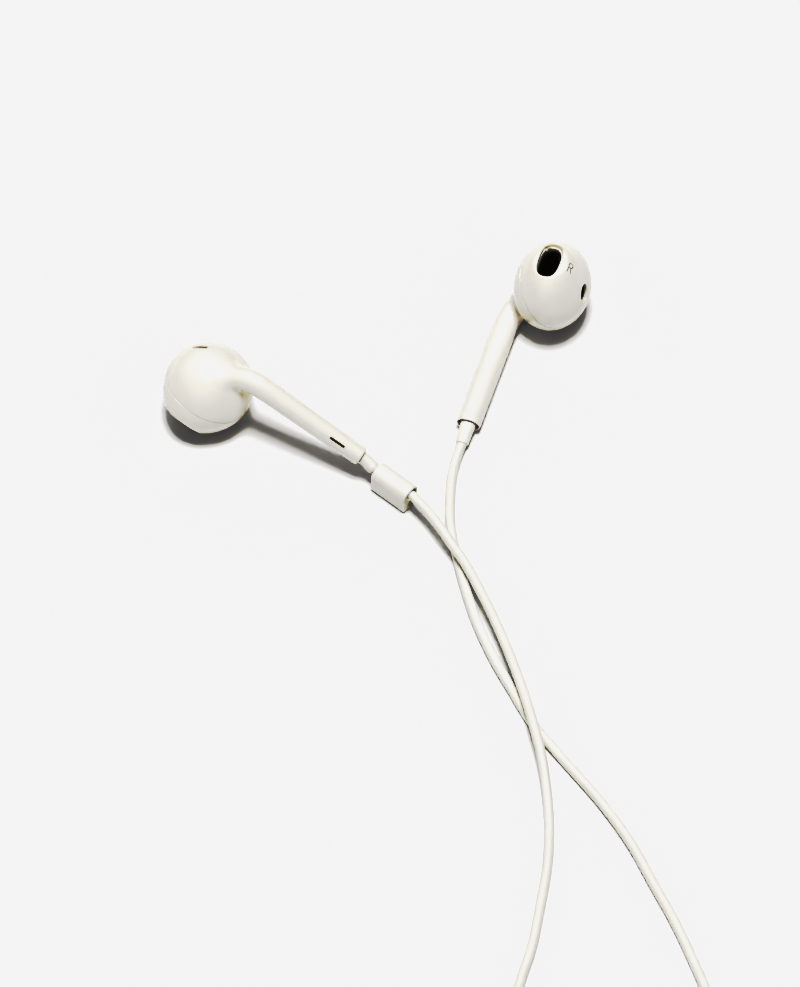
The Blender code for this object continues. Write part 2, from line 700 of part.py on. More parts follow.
sp_empty = add_empty("splitter_frame", Matrix.Rotation(
    math.radians(SPLITTER_HEADING), 4, "Z"))
rings = []
for x, w, h, drop in ((-6.0, 2.55, 1.30, 0), (-5.3, 2.95, 1.65, 0),
                      (-1.5, 2.90, 1.65, 0), (3.2, 2.15, 1.62, 0),
                      (5.6, 1.95, 1.55, 0), (6.0, 1.75, 1.35, 0)):
    rings.append([Vector((x, y, 1.65 + z)) * MM
                  for y, z in rounded_rect(w, h, min(w, h) * 0.75, 4)])
# flat resting face: everything below a quarter of a millimetre is cut away
bm = loft(rings)
bmesh.ops.recalc_face_normals(bm, faces=bm.faces)
cut = bmesh.ops.bisect_plane(
    bm, geom=bm.verts[:] + bm.edges[:] + bm.faces[:], dist=1e-7,
    plane_co=(0, 0, 0.25 * MM), plane_no=(0, 0, -1), clear_outer=True)
bmesh.ops.holes_fill(
    bm, edges=[g for g in cut["geom_cut"]
               if isinstance(g, bmesh.types.BMEdge)], sides=0)
bmesh.ops.translate(bm, verts=bm.verts, vec=(0, 0, -0.25 * MM))
splitter = add_object("splitter", bm, WHITE, sp_empty)
for name, x0, x1, y in (("cut_socket_left_lead", -8.0, -4.2, -TWIN_OFFSET),
                        ("cut_socket_right_lead", -8.0, -4.2, TWIN_OFFSET),
                        ("cut_socket_main", 4.4, 8.0, 0.0)):
    r = SOCKET_R if y == 0.0 else 1.08
    bm = loft([[Vector((x, y + r * math.cos(2 * math.pi * i / 16),
                        1.5 + r * math.sin(2 * math.pi * i / 16))) * MM
                for i in range(16)] for x in (x0, x1)])
    boolean(splitter, add_object(name, bm, None, sp_empty))

# left lead: arc under the cinch, over the right lead twice, to the splitter
n_arc = 9
path = [arc_point(JOIN + (ARC_LENGTH - JOIN) * k / n_arc)
        for k in range(n_arc)]
tail = [arc_point(ARC_LENGTH)] + [Vector(p) for p in LEFT_LEAD]
tail += [Vector(splitter_point(-7.6, -TWIN_OFFSET, 1.5)),
         Vector(splitter_point(-4.6, -TWIN_OFFSET, 1.5))]
body = spline([tuple(p) for p in path + tail], 4.5)
# keep the exact arc inside the travel of the cinch
keep = [p for p in body if p.y < arc_point(ARC_LENGTH).y - 1.5]
add_object("left_lead", sweep(layout(path + [arc_point(ARC_LENGTH)] + keep),
                              CABLE_R, CABLE_SIDES), CABLE_WHITE)

# right lead above the remote
rp = Vector(RIGHT_BUD["pivot"])
first = Vector(RIGHT_LEAD_UPPER[0])
start = rp + (first - rp).normalized() * JOIN
rem_top = Vector((*REMOTE_TOP, 0))
rem_end = Vector((*REMOTE_END, 0))
rem_dir = (rem_end - rem_top).normalized()
enter = rem_top + rem_dir * 1.1
body = spline([tuple(start)] + list(RIGHT_LEAD_UPPER)
              + [(*(rem_top - rem_dir * 1.5).xy, REMOTE_SPLIT),
                 (*enter.xy, REMOTE_SPLIT)], 4.5)
add_object("right_lead_upper", sweep(layout(body), CABLE_R, CABLE_SIDES), CABLE_WHITE)

# right lead below the remote
leave = rem_end - rem_dir * 1.1
body = spline([(*leave.xy, REMOTE_SPLIT),
               (*(rem_end + rem_dir * 1.5).xy, REMOTE_SPLIT)]
              + list(RIGHT_LEAD_LOWER)
              + [splitter_point(-7.6, TWIN_OFFSET, 1.5),
                 splitter_point(-4.6, TWIN_OFFSET, 1.5)], 4.5)
add_object("right_lead_lower", sweep(layout(body), CABLE_R, CABLE_SIDES), CABLE_WHITE)

# main cable: flat coil, each turn inside the one before
exit_pt = Vector(splitter_point(6.0, 0, 0))
rel = exit_pt - Vector((*COIL_C, 0))
angle0 = math.atan2(rel.y, rel.x)
r0 = rel.length


def coil_point(turns):
    r = (COIL_R - COIL_PITCH * turns
         + (r0 - COIL_R) * math.exp(-turns / COIL_LEADIN_TURNS))
    a = angle0 - 2 * math.pi * turns
    return Vector((COIL_C[0] + r * math.cos(a), COIL_C[1] + r * math.sin(a),
                   CABLE_Z))


path = [Vector(splitter_point(4.8, 0, 1.5)), Vector(splitter_point(7.2, 0, 1.4))]
for k in range(1, int(COIL_TURNS * COIL_STEPS) + 1):
    p = coil_point(k / COIL_STEPS)
    if k == 1:
        p.z = 1.1
    path.append(p)
last, before = path[-1], path[-2]
d = (last - before).normalized()
base = math.degrees(math.atan2(d.y, d.x))
c2 = last + Vector((d.y, -d.x, 0)) * COIL_TAIL_R
tail_steps = 9
for k in range(1, tail_steps + 1):
    a = math.radians(base + 90.0 - COIL_TAIL_TURN * k / tail_steps)
    z = CABLE_Z + 0.35 * max(0.0, (k - 5) / (tail_steps - 5))
    path.append(Vector((c2.x + COIL_TAIL_R * math.cos(a),
                        c2.y + COIL_TAIL_R * math.sin(a), z)))
plug_heading = base - COIL_TAIL_TURN
plug_dir = heading(plug_heading)
plug_pivot = path[-1] + plug_dir * JOIN
add_object("main_cable", sweep(layout(path), CABLE_R, CABLE_SIDES), CABLE_WHITE)

# plug: relief, housing and the four contacts on a common axis
plug_empty = add_empty("plug_pivot", Matrix.Translation(at(*plug_pivot))
                       @ Matrix.Rotation(math.radians(plug_heading), 4, "Z"))
lift = PLUG_BODY_R - plug_pivot.z
path, radii = [], []
for k in range(10):
    t = k / 9
    path.append((JOIN + (PLUG_RELIEF_L - JOIN) * t, 0,
                 lift * (3 * t * t - 2 * t ** 3)))
    radii.append(1.15 + 0.65 * t ** 1.6)
add_object("plug_relief", sweep(path, radii, 10), RELIEF_WHITE, plug_empty)
turn = Matrix.Translation(Vector((0, 0, lift)) * MM) @ Matrix.Rotation(
    math.radians(90), 4, "Y")
x0 = PLUG_RELIEF_L + 0.2
x1 = x0 + PLUG_BODY_L
ob = add_object("plug_housing", revolve(
    ((0.0, x0), (2.1, x0), (2.42, x0 + 0.4), (PLUG_BODY_R, x0 + 1.2),
     (PLUG_BODY_R, x1 - 0.5), (2.2, x1), (0.0, x1)), 18), WHITE, plug_empty)
ob.matrix_local = turn
gap = 0.15
z = x1 + gap
bands = (("plug_sleeve", 4.3, CONTACT, JACK_R),
         ("plug_insulator_1", 0.5, INSULATOR, JACK_R - 0.04),
         ("plug_ring_2", 2.2, CONTACT, JACK_R),
         ("plug_insulator_2", 0.5, INSULATOR, JACK_R - 0.04),
         ("plug_ring_1", 2.2, CONTACT, JACK_R),
         ("plug_insulator_3", 0.5, INSULATOR, JACK_R - 0.04))
for name, length, mat, r in bands:
    ob = add_object(name, revolve(((JACK_BORE_R, z), (r, z), (r, z + length),
                                   (JACK_BORE_R, z + length)), 14),
                    mat, plug_empty)
    ob.matrix_local = turn
    z += length + gap
ob = add_object("plug_tip", revolve(
    ((0.0, x1 + gap), (JACK_CORE_R, x1 + gap), (JACK_CORE_R, z), (1.55, z),
     (1.28, z + 0.9), (1.72, z + 1.9), (1.60, z + 2.4), (0.75, z + 3.3),
     (0.0, z + 3.45)), 14), CONTACT, plug_empty)
ob.matrix_local = turn

# remote: two half shells, a board with three dome switches, three buttons
rem_mid = (rem_top + rem_end) / 2
rem_len = (rem_end - rem_top).length
rem_empty = add_empty("remote_frame", Matrix.Translation(at(*rem_mid))
                      @ Matrix.Rotation(math.atan2(-rem_dir.y, -rem_dir.x),
                                        4, "Z"))
hx, hy = rem_len / 2, REMOTE_W / 2


def remote_half(name, levels):
    rings = []
    for z, inset in levels:
        rings.append([Vector((x, y, z)) * MM for x, y in
                      stadium(hx - inset, hy - inset, 6)])
    return add_object(name, loft(rings), WHITE, rem_empty)


back = remote_half("remote_back_shell",
                   ((0.0, 0.75), (0.25, 0.35), (0.8, 0.05),
                    (REMOTE_SPLIT - 0.08, 0.0)))
frontsh = remote_half("remote_front_shell",
                      ((REMOTE_SPLIT + 0.08, 0.0), (3.5, 0.06), (4.1, 0.35),
                       (REMOTE_H, 0.8)))
bm = loft([[Vector((x, y, z)) * MM for x, y in
            stadium(hx - REMOTE_WALL - inset, hy - REMOTE_WALL - inset, 5)]
           for z, inset in ((0.8, 0.15), (3.45, 0.0))])
room = add_object("cut_remote_room", bm, None, rem_empty)
boolean(back, room)
boolean(frontsh, room)
bm = loft([[Vector((x, SOCKET_R * math.cos(2 * math.pi * i / 14),
                    REMOTE_SPLIT + SOCKET_R * math.sin(2 * math.pi * i / 14)))
            * MM for i in range(14)] for x in (-hx - 2, -hx + 2.6)])
sock_a = add_object("cut_remote_socket_lower", bm, None, rem_empty)
bm = loft([[Vector((x, SOCKET_R * math.cos(2 * math.pi * i / 14),
                    REMOTE_SPLIT + SOCKET_R * math.sin(2 * math.pi * i / 14)))
            * MM for i in range(14)] for x in (hx - 2.6, hx + 2)])
sock_b = add_object("cut_remote_socket_upper", bm, None, rem_empty)
for shell in (back, frontsh):
    boolean(shell, sock_a)
    boolean(shell, sock_b)
for name, x, length in BUTTONS:
    bm = prism([(x + a, b) for a, b in
                stadium(length / 2, BUTTON_W / 2, 5)], 3.2, 5.2)
    boolean(frontsh, add_object("cut_" + name, bm, None, rem_empty))
    face = length / 2 - BUTTON_GAP * 0.6
    wide = BUTTON_W / 2 - BUTTON_GAP * 0.6
    rings = []
    for z, inset in ((2.85, -0.28), (3.10, -0.28), (3.11, 0.0), (4.30, 0.0),
                     (4.46, 0.22)):
        rings.append([Vector((a, b, z)) * MM for a, b in
                      stadium(face - inset, wide - inset, 5)])
    add_object(name, loft(rings), WHITE, rem_empty,
               Vector((x * MM, 0, 0)))
bm = prism(stadium(hx - 3.2, 1.9, 4), 1.25, 1.65)
add_object("remote_board", bm, BOARD, rem_empty)
for (name, x, length), tag in zip(BUTTONS, ("up", "center", "down")):
    add_object("dome_switch_" + tag, revolve(
        ((0.0, 1.85), (1.45, 1.85), (1.45, 1.95), (1.05, 2.20),
         (0.0, 2.32)), 12), STEEL, rem_empty, Vector((x * MM, 0, 0)))
# microphone capsule on the board, past the lowest button
bm = prism([(-12.6, -0.75), (-11.1, -0.75), (-11.1, 0.75), (-12.6, 0.75)],
           1.9, 2.3)
add_object("microphone", bm, STEEL, rem_empty, Vector((-1.4 * MM, 0, 0)))
bpy.context.view_layer.update()
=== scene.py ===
import math

import bmesh
import bpy
import numpy as np
from mathutils import Matrix, Vector

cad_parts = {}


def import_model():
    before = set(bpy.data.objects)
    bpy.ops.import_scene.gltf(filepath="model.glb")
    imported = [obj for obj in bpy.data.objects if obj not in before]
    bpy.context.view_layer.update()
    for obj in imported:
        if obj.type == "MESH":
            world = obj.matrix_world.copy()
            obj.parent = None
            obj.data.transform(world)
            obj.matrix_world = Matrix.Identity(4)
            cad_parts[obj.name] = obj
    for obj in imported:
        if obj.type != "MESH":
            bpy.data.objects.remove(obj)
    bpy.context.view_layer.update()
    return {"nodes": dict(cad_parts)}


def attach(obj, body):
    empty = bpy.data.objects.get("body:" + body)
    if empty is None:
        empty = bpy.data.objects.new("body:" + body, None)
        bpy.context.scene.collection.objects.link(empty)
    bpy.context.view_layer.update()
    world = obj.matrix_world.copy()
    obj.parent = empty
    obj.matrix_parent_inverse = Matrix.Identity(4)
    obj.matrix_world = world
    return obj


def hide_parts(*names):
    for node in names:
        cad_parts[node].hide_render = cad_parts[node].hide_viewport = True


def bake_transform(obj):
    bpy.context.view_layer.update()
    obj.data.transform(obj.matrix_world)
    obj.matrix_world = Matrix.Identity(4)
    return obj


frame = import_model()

MM = 0.001
SCENE = bpy.context.scene

# ------------------------------------------------------------ shared layout
SPLITTER_AT = (-32.0, -207.6)
CABLE_R = 0.92
CABLE_Z = 0.95
OVER_Z = 3.22
HEAD_C = np.array((5.65, 6.98, 29.64))
HEAD_A = np.array((8.36, 7.07, 8.25))
WALL = 0.90
SEAM_N = np.array((0.724, 0.689, -0.048)); SEAM_N = SEAM_N / np.linalg.norm(SEAM_N)
FACET_P = 8.11
CAVITY_P = 5.90
PORT_AT = (-0.34, 0.50)
PORT_HALF = (1.94, 3.60)
LEDGE_P = 7.35
LEDGE_DROP = 0.32
SIDE_PORT_AT = np.array((2.20, 6.72, -1.25))
SIDE_PORT_ALONG = np.array((0.837, -0.132, 0.530))
REAR_VENT_AT = np.array((-5.35, -2.8, 5.90))
REAR_VENT_ALONG = np.array((-0.31, -0.28, -0.92))
STEM = np.array((
    (0.00, 0.00, -2.0, 1.85, 2.30),
    (0.00, 0.00, 0.0, 1.85, 2.30),
    (0.00, 0.00, 6.0, 1.93, 2.30),
    (0.00, 0.00, 12.0, 2.02, 2.32),
    (0.00, 0.00, 17.5, 2.10, 2.34),
    (0.00, 0.02, 21.0, 2.15, 2.34),
    (0.06, 0.12, 23.2, 2.20, 2.34),
    (0.50, 0.68, 25.4, 2.28, 2.34),
    (1.40, 1.82, 27.6, 2.34, 2.36),
    (2.60, 3.25, 29.8, 2.34, 2.34),
    (3.90, 4.80, 32.0, 2.20, 2.20)))
RIGHT_BUD = dict(end=(12.36, 13.32, 2.18), bearing=72.29, slope=0.25,
                 roll=-2.45, pivot=(11.27, 9.68, 1.55))
LEFT_BUD = dict(end=(-7.00, 4.76, 5.07), bearing=151.33, slope=21.18,
                roll=-118.71, pivot=(-4.70, 2.80, 4.00))
ARC_R, ARC_HEADING, ARC_LENGTH = 38.0, -33.0, 17.2
LEFT_LEAD = (
    (9.45, -13.1, 3.45), (11.8, -16.9, OVER_Z), (14.5, -22.7, OVER_Z),
    (17.2, -29.1, OVER_Z), (20.3, -37.7, OVER_Z), (22.9, -46.3, OVER_Z),
    (24.2, -51.6, OVER_Z), (25.4, -56.6, 2.60), (26.3, -62.4, 1.50),
    (26.9, -70.6, CABLE_Z), (26.6, -79.2, CABLE_Z), (25.3, -87.8, CABLE_Z),
    (23.8, -96.3, CABLE_Z), (21.4, -104.9, CABLE_Z), (19.8, -114.0, CABLE_Z),
    (21.6, -128.0, CABLE_Z), (24.3, -145.0, CABLE_Z),
    (24.8, -160.0, CABLE_Z), (21.5, -178.0, CABLE_Z),
    (12.5, -192.5, CABLE_Z), (-1.0, -202.4, CABLE_Z),
    (-13.0, -206.6, CABLE_Z), (-20.0, -207.7, 1.25))
RIGHT_LEAD_UPPER = (
    (10.4, 7.3, 1.15), (9.5, 3.4, CABLE_Z), (9.1, -2.0, CABLE_Z),
    (9.1, -6.3, CABLE_Z), (9.6, -10.6, CABLE_Z), (10.5, -14.9, CABLE_Z),
    (11.7, -20.2, CABLE_Z), (13.8, -27.7, CABLE_Z), (17.2, -36.3, CABLE_Z),
    (20.4, -42.7, CABLE_Z), (24.0, -49.6, CABLE_Z), (29.1, -56.7, CABLE_Z),
    (36.3, -66.3, CABLE_Z), (41.6, -74.9, CABLE_Z), (45.7, -83.5, CABLE_Z),
    (49.7, -92.0, CABLE_Z), (53.1, -100.6, CABLE_Z), (55.6, -107.4, 1.30))
RIGHT_LEAD_LOWER = (
    (67.2, -151.0, 1.30), (68.6, -160.0, CABLE_Z), (66.5, -178.0, CABLE_Z),
    (56.5, -193.5, CABLE_Z), (38.5, -205.0, CABLE_Z),
    (15.0, -211.6, CABLE_Z), (-8.0, -213.0, CABLE_Z),
    (-19.0, -211.3, 1.25))
REMOTE_TOP, REMOTE_END = (57.4, -112.6), (65.3, -144.6)
REMOTE_W, REMOTE_H, REMOTE_SPLIT, REMOTE_WALL = 6.4, 4.4, 2.07, 0.9
BUTTONS = (("volume_up_button", 9.6, 7.6, "volume_up"),
           ("center_button", 0.0, 9.2, "center"),
           ("volume_down_button", -9.6, 7.6, "volume_down"))
BUTTON_W, BUTTON_GAP = 3.6, 0.35
TWIN_OFFSET = 1.12
SPLITTER_HEADING = 172.0
COIL_C = (-25.0, -158.0)
COIL_TURNS, COIL_R, COIL_PITCH, COIL_STEPS = 3.25, 46.7, 2.5, 26
COIL_LEADIN_TURNS, COIL_TAIL_R, COIL_TAIL_TURN = 0.16, 14.0, 115.0
JOIN = 0.25
PLUG_RELIEF_L, PLUG_BODY_L, PLUG_BODY_R, JACK_R = 9.0, 14.0, 2.5, 1.75


def heading(deg):
    a = math.radians(deg)
    return Vector((math.cos(a), math.sin(a), 0.0))


def part(points):
    """Layout millimetres to part metres, as an array."""
    a = np.asarray([tuple(p) for p in points], float)
    return (a - np.array((SPLITTER_AT[0], SPLITTER_AT[1], 0.0))) * MM


# ---------------------------------------------------------------- materials
def nodes_of(name):
    m = bpy.data.materials.new(name)
    m.use_nodes = True
    nt = m.node_tree
    return m, nt, nt.nodes["Principled BSDF"]


def noise(nt, scale, detail=3.0, rough=0.5):
    tc = nt.nodes.new("ShaderNodeTexCoord")
    n = nt.nodes.new("ShaderNodeTexNoise")
    n.inputs["Scale"].default_value = scale
    n.inputs["Detail"].default_value = detail
    n.inputs["Roughness"].default_value = rough
    nt.links.new(tc.outputs["Object"], n.inputs["Vector"])
    return n


def ramp(nt, src, stops):
    r = nt.nodes.new("ShaderNodeValToRGB")
    els = r.color_ramp.elements
    els[0].position, els[0].color = stops[0][0], (*stops[0][1], 1)
    els[1].position, els[1].color = stops[-1][0], (*stops[-1][1], 1)
    for pos, col in stops[1:-1]:
        e = els.new(pos)
        e.color = (*col, 1)
    nt.links.new(src, r.inputs["Fac"])
    return r


def spread(nt, src, lo, hi):
    m = nt.nodes.new("ShaderNodeMapRange")
    m.inputs["From Min"].default_value = 0.3
    m.inputs["From Max"].default_value = 0.7
    m.inputs["To Min"].default_value = lo
    m.inputs["To Max"].default_value = hi
    nt.links.new(src, m.inputs["Value"])
    return m


def bump(nt, bsdf, sources, base=None):
    """sources: (socket, strength, distance in metres)"""
    last = None
    for sock, strength, dist in sources:
        b = nt.nodes.new("ShaderNodeBump")
        b.inputs["Strength"].default_value = strength
        b.inputs["Distance"].default_value = dist
        nt.links.new(sock, b.inputs["Height"])
        if last:
            nt.links.new(last.outputs["Normal"], b.inputs["Normal"])
        last = b
    nt.links.new(last.outputs["Normal"], bsdf.inputs["Normal"])


def plastic(name, colour, rough, sss=0.12, grain=2600.0, depth=0.004, coat=0.0,
            mottle=0.012):
    m, nt, b = nodes_of(name)
    big = noise(nt, 90.0, 2.0)
    fine = noise(nt, grain, 3.0)
    wave = noise(nt, 420.0, 1.0)
    c = np.array(colour)
    r = ramp(nt, big.outputs["Fac"],
             ((0.30, tuple(c * (1 - mottle))), (0.70, tuple(np.minimum(c * (1 + mottle), 1)))))
    nt.links.new(r.outputs["Color"], b.inputs["Base Color"])
    nt.links.new(spread(nt, fine.outputs["Fac"], rough * 0.88, rough * 1.12)
                 .outputs["Result"], b.inputs["Roughness"])
    b.inputs["Subsurface Weight"].default_value = sss
    b.inputs["Subsurface Radius"].default_value = (1.0, 0.75, 0.5)
    b.inputs["Subsurface Scale"].default_value = 0.0012
    b.inputs["Coat Weight"].default_value = coat
    b.inputs["Coat Roughness"].default_value = 0.12
    b.inputs["IOR"].default_value = 1.50
    bump(nt, b, ((fine.outputs["Fac"], 0.35, depth * MM),
                 (wave.outputs["Fac"], 0.30, 0.004 * MM)))
    return m


def metal(name, colour, rough, brushed=None, grain=1800.0):
    m, nt, b = nodes_of(name)
    b.inputs["Metallic"].default_value = 1.0
    n = noise(nt, grain, 4.0)
    c = np.array(colour)
    r = ramp(nt, n.outputs["Fac"], ((0.3, tuple(c * 0.93)), (0.7, tuple(np.minimum(c * 1.05, 1)))))
    nt.links.new(r.outputs["Color"], b.inputs["Base Color"])
    nt.links.new(spread(nt, n.outputs["Fac"], rough * 0.75, rough * 1.3)
                 .outputs["Result"], b.inputs["Roughness"])
    if brushed:
        w = nt.nodes.new("ShaderNodeTexWave")
        w.wave_type = "RINGS"
        w.rings_direction = "SPHERICAL"
        w.inputs["Scale"].default_value = brushed
        w.inputs["Distortion"].default_value = 2.0
        nt.links.new(nt.nodes["Texture Coordinate"].outputs["Object"], w.inputs["Vector"])
        bump(nt, b, ((w.outputs["Fac"], 0.2, 0.002 * MM), (n.outputs["Fac"], 0.2, 0.002 * MM)))
    else:
        bump(nt, b, ((n.outputs["Fac"], 0.25, 0.002 * MM),))
    return m


SHELL = plastic("shell_white", (0.820, 0.797, 0.742), 0.24, sss=0.10, grain=5200.0,
                depth=0.0015, coat=0.35, mottle=0.008)
CABLE = plastic("cable_white", (0.785, 0.772, 0.722), 0.42, sss=0.12, grain=3800.0,
                depth=0.006, mottle=0.015)
RELIEF = plastic("relief_white", (0.820, 0.805, 0.760), 0.38, sss=0.12, grain=3600.0,
                 depth=0.005, mottle=0.012)
SLIDER = plastic("slider_grey", (0.790, 0.772, 0.725), 0.42, sss=0.05, grain=3200.0,
                 depth=0.006, mottle=0.02)
INSULATOR = plastic("plug_insulator", (0.80, 0.79, 0.76), 0.4, sss=0.05, grain=3000.0)
CONTACT = metal("plug_contact", (0.80, 0.79, 0.76), 0.16, grain=2400.0)
STEEL = metal("steel", (0.58, 0.58, 0.59), 0.30, brushed=2500.0)
MAGNET = metal("magnet_nickel", (0.66, 0.65, 0.62), 0.24, grain=2600.0)
COPPER = metal("copper", (0.76, 0.36, 0.19), 0.34, brushed=9000.0)


def weave_material():
    m, nt, b = nodes_of("mesh_black")
    n = noise(nt, 2600.0, 3.0)
    r = ramp(nt, n.outputs["Fac"], ((0.3, (0.030, 0.028, 0.022)), (0.7, (0.110, 0.100, 0.075))))
    nt.links.new(r.outputs["Color"], b.inputs["Base Color"])
    b.inputs["Metallic"].default_value = 0.75
    nt.links.new(spread(nt, n.outputs["Fac"], 0.26, 0.48).outputs["Result"], b.inputs["Roughness"])
    v = nt.nodes.new("ShaderNodeTexVoronoi")
    v.inputs["Scale"].default_value = 3600.0
    v.inputs["Randomness"].default_value = 0.1
    nt.links.new(nt.nodes["Texture Coordinate"].outputs["Object"], v.inputs["Vector"])
    bump(nt, b, ((v.outputs["Distance"], 0.5, 0.03 * MM), (n.outputs["Fac"], 0.2, 0.003 * MM)))
    return m


def simple_detail(name, colour, rough, scale, depth, lo=0.8, hi=1.15, metallic=0.0, sheen=0.0):
    m, nt, b = nodes_of(name)
    n = noise(nt, scale, 5.0, 0.6)
    c = np.array(colour)
    r = ramp(nt, n.outputs["Fac"], ((0.28, tuple(c * lo)), (0.72, tuple(np.minimum(c * hi, 1)))))
    nt.links.new(r.outputs["Color"], b.inputs["Base Color"])
    nt.links.new(spread(nt, n.outputs["Fac"], rough * 0.85, min(1.0, rough * 1.15))
                 .outputs["Result"], b.inputs["Roughness"])
    b.inputs["Metallic"].default_value = metallic
    b.inputs["Sheen Weight"].default_value = sheen
    bump(nt, b, ((n.outputs["Fac"], 0.5, depth * MM),))
    return m


MESHB = weave_material()
FILM = simple_detail("diaphragm_film", (0.72, 0.69, 0.56), 0.28, 900.0, 0.01)
FOAM = simple_detail("foam_dark", (0.05, 0.05, 0.05), 0.95, 3600.0, 0.08, 0.5, 1.6, sheen=0.2)
BOARD = simple_detail("board_green", (0.03, 0.17, 0.07), 0.42, 1500.0, 0.012, 0.85, 1.25)
DFRAME = simple_detail("driver_frame_black", (0.04, 0.04, 0.045), 0.5, 2200.0, 0.012)
BRONZE = simple_detail("vent_mesh_bronze", (0.60, 0.45, 0.27), 0.42, 3000.0, 0.03, 0.6, 1.3, metallic=0.3)
WIRE = simple_detail("wire_enamel", (0.50, 0.12, 0.08), 0.35, 1400.0, 0.008)
MARK = simple_detail("side_mark_grey", (0.36, 0.36, 0.35), 0.45, 2600.0, 0.003)


# ------------------------------------------------------------------ meshing
def mesh_object(name, verts, faces, mat, angle=45.0, flip=False):
    """verts in part metres."""
    me = bpy.data.meshes.new(name)
    verts = np.asarray(verts, float)
    if flip:
        faces = [tuple(reversed(f)) for f in faces]
    me.from_pydata([tuple(v) for v in verts], [], [tuple(int(i) for i in f) for f in faces])
    me.validate()
    me.shade_smooth()
    me.set_sharp_from_angle(angle=math.radians(angle))
    me.materials.append(mat)
    ob = bpy.data.objects.new(name, me)
    SCENE.collection.objects.link(ob)
    return ob


def smin(a, b, k):
    h = np.clip(0.5 + 0.5 * (b - a) / k, 0, 1)
    return b + (a - b) * h - k * h * (1 - h)


def smax(a, b, k):
    return -smin(-a, -b, k)


def nets(f, lo, hi, h, relax=4):
    """Surface nets over f(P) < 0, then pulled onto f = 0.  P has shape (..., 3)."""
    n = [int(math.ceil((hi[i] - lo[i]) / h)) + 1 for i in range(3)]
    ax = [lo[i] + h * np.arange(n[i]) for i in range(3)]
    val = np.empty(n, np.float32)
    step = max(1, int(700000 / (n[1] * n[2])))
    for i in range(0, n[0], step):
        g = np.stack(np.meshgrid(ax[0][i:i + step], ax[1], ax[2], indexing="ij"), -1)
        val[i:i + step] = f(g)
    ins = val < 0
    c = [n[0] - 1, n[1] - 1, n[2] - 1]
    total = np.zeros(c, np.int8)
    for a in (0, 1):
        for b in (0, 1):
            for d in (0, 1):
                total += ins[a:a + c[0], b:b + c[1], d:d + c[2]]
    act = np.argwhere((total > 0) & (total < 8))
    index = np.full(c, -1, np.int64)
    index[tuple(act.T)] = np.arange(len(act))
    corner = {}
    for a in (0, 1):
        for b in (0, 1):
            for d in (0, 1):
                corner[a, b, d] = val[act[:, 0] + a, act[:, 1] + b, act[:, 2] + d].astype(float)
    acc = np.zeros((len(act), 3))
    cnt = np.zeros(len(act))
    for axis in range(3):
        for u in (0, 1):
            for w in (0, 1):
                k0 = [0, 0, 0]
                o = [i for i in range(3) if i != axis]
                k0[o[0]], k0[o[1]] = u, w
                k1 = list(k0)
                k1[axis] = 1
                v0, v1 = corner[tuple(k0)], corner[tuple(k1)]
                x = (v0 < 0) != (v1 < 0)
                t = np.where(x, v0 / np.where(x, v0 - v1, 1), 0)
                pt = np.tile(np.array(k0, float), (len(act), 1))
                pt[:, axis] = t
                acc += pt * x[:, None]
                cnt += x
    verts = (act + acc / cnt[:, None]) * h + np.array(lo)
    faces = []
    for axis in range(3):
        o = [(axis + 1) % 3, (axis + 2) % 3]
        sl0 = [slice(None)] * 3
        sl1 = [slice(None)] * 3
        sl0[axis], sl1[axis] = slice(0, -1), slice(1, None)
        a, b = ins[tuple(sl0)], ins[tuple(sl1)]
        e = np.argwhere(a != b)
        ok = np.ones(len(e), bool)
        for d in o:
            ok &= (e[:, d] > 0) & (e[:, d] < n[d] - 1)
        e = e[ok]
        sign = a[tuple(e.T)]
        q = []
        for du, dw in ((1, 1), (0, 1), (0, 0), (1, 0)):
            cc = e.copy()
            cc[:, o[0]] -= du
            cc[:, o[1]] -= dw
            q.append(index[tuple(cc.T)])
        q = np.stack(q, 1)
        q[~sign] = q[~sign][:, ::-1]
        faces.append(q)
    faces = np.concatenate(faces)
    eps = h * 0.15
    for _ in range(relax):
        v = f(verts)
        g = np.stack([(f(verts + np.eye(3)[i] * eps) - f(verts - np.eye(3)[i] * eps)) / (2 * eps)
                      for i in range(3)], 1)
        stepv = v[:, None] * g / np.maximum((g * g).sum(1), 0.05)[:, None]
        ln = np.linalg.norm(stepv, axis=1)
        stepv *= np.minimum(1, 0.5 * h / np.maximum(ln, 1e-9))[:, None]
        verts = verts - stepv
    return verts, faces


def loft_arrays(rings, caps=True):
    rings = [np.asarray(r, float) for r in rings]
    m = len(rings[0])
    verts = np.concatenate(rings)
    faces = []
    for k in range(len(rings) - 1):
        a, b = k * m, (k + 1) * m
        for i in range(m):
            j = (i + 1) % m
            faces.append((a + i, a + j, b + j, b + i))
    if caps:
        faces.append(tuple(range(m - 1, -1, -1)))
        t = (len(rings) - 1) * m
        faces.append(tuple(range(t, t + m)))
    return verts, faces


def merge(parts):
    verts, faces, base = [], [], 0
    for v, f in parts:
        verts.append(np.asarray(v, float))
        faces += [tuple(int(i) + base for i in q) for q in f]
        base += len(v)
    return np.concatenate(verts), faces


def frames(pts, hint):
    out = []
    n = len(pts)
    for i, p in enumerate(pts):
        if i == 0:
            t = pts[1] - pts[0]
        elif i == n - 1:
            t = pts[-1] - pts[-2]
        else:
            t = (pts[i + 1] - p) / np.linalg.norm(pts[i + 1] - p) \
                + (p - pts[i - 1]) / np.linalg.norm(p - pts[i - 1])
        t = t / np.linalg.norm(t)
        u = hint - t * (hint @ t)
        u = u / np.linalg.norm(u)
        out.append((t, u, np.cross(t, u)))
    return out


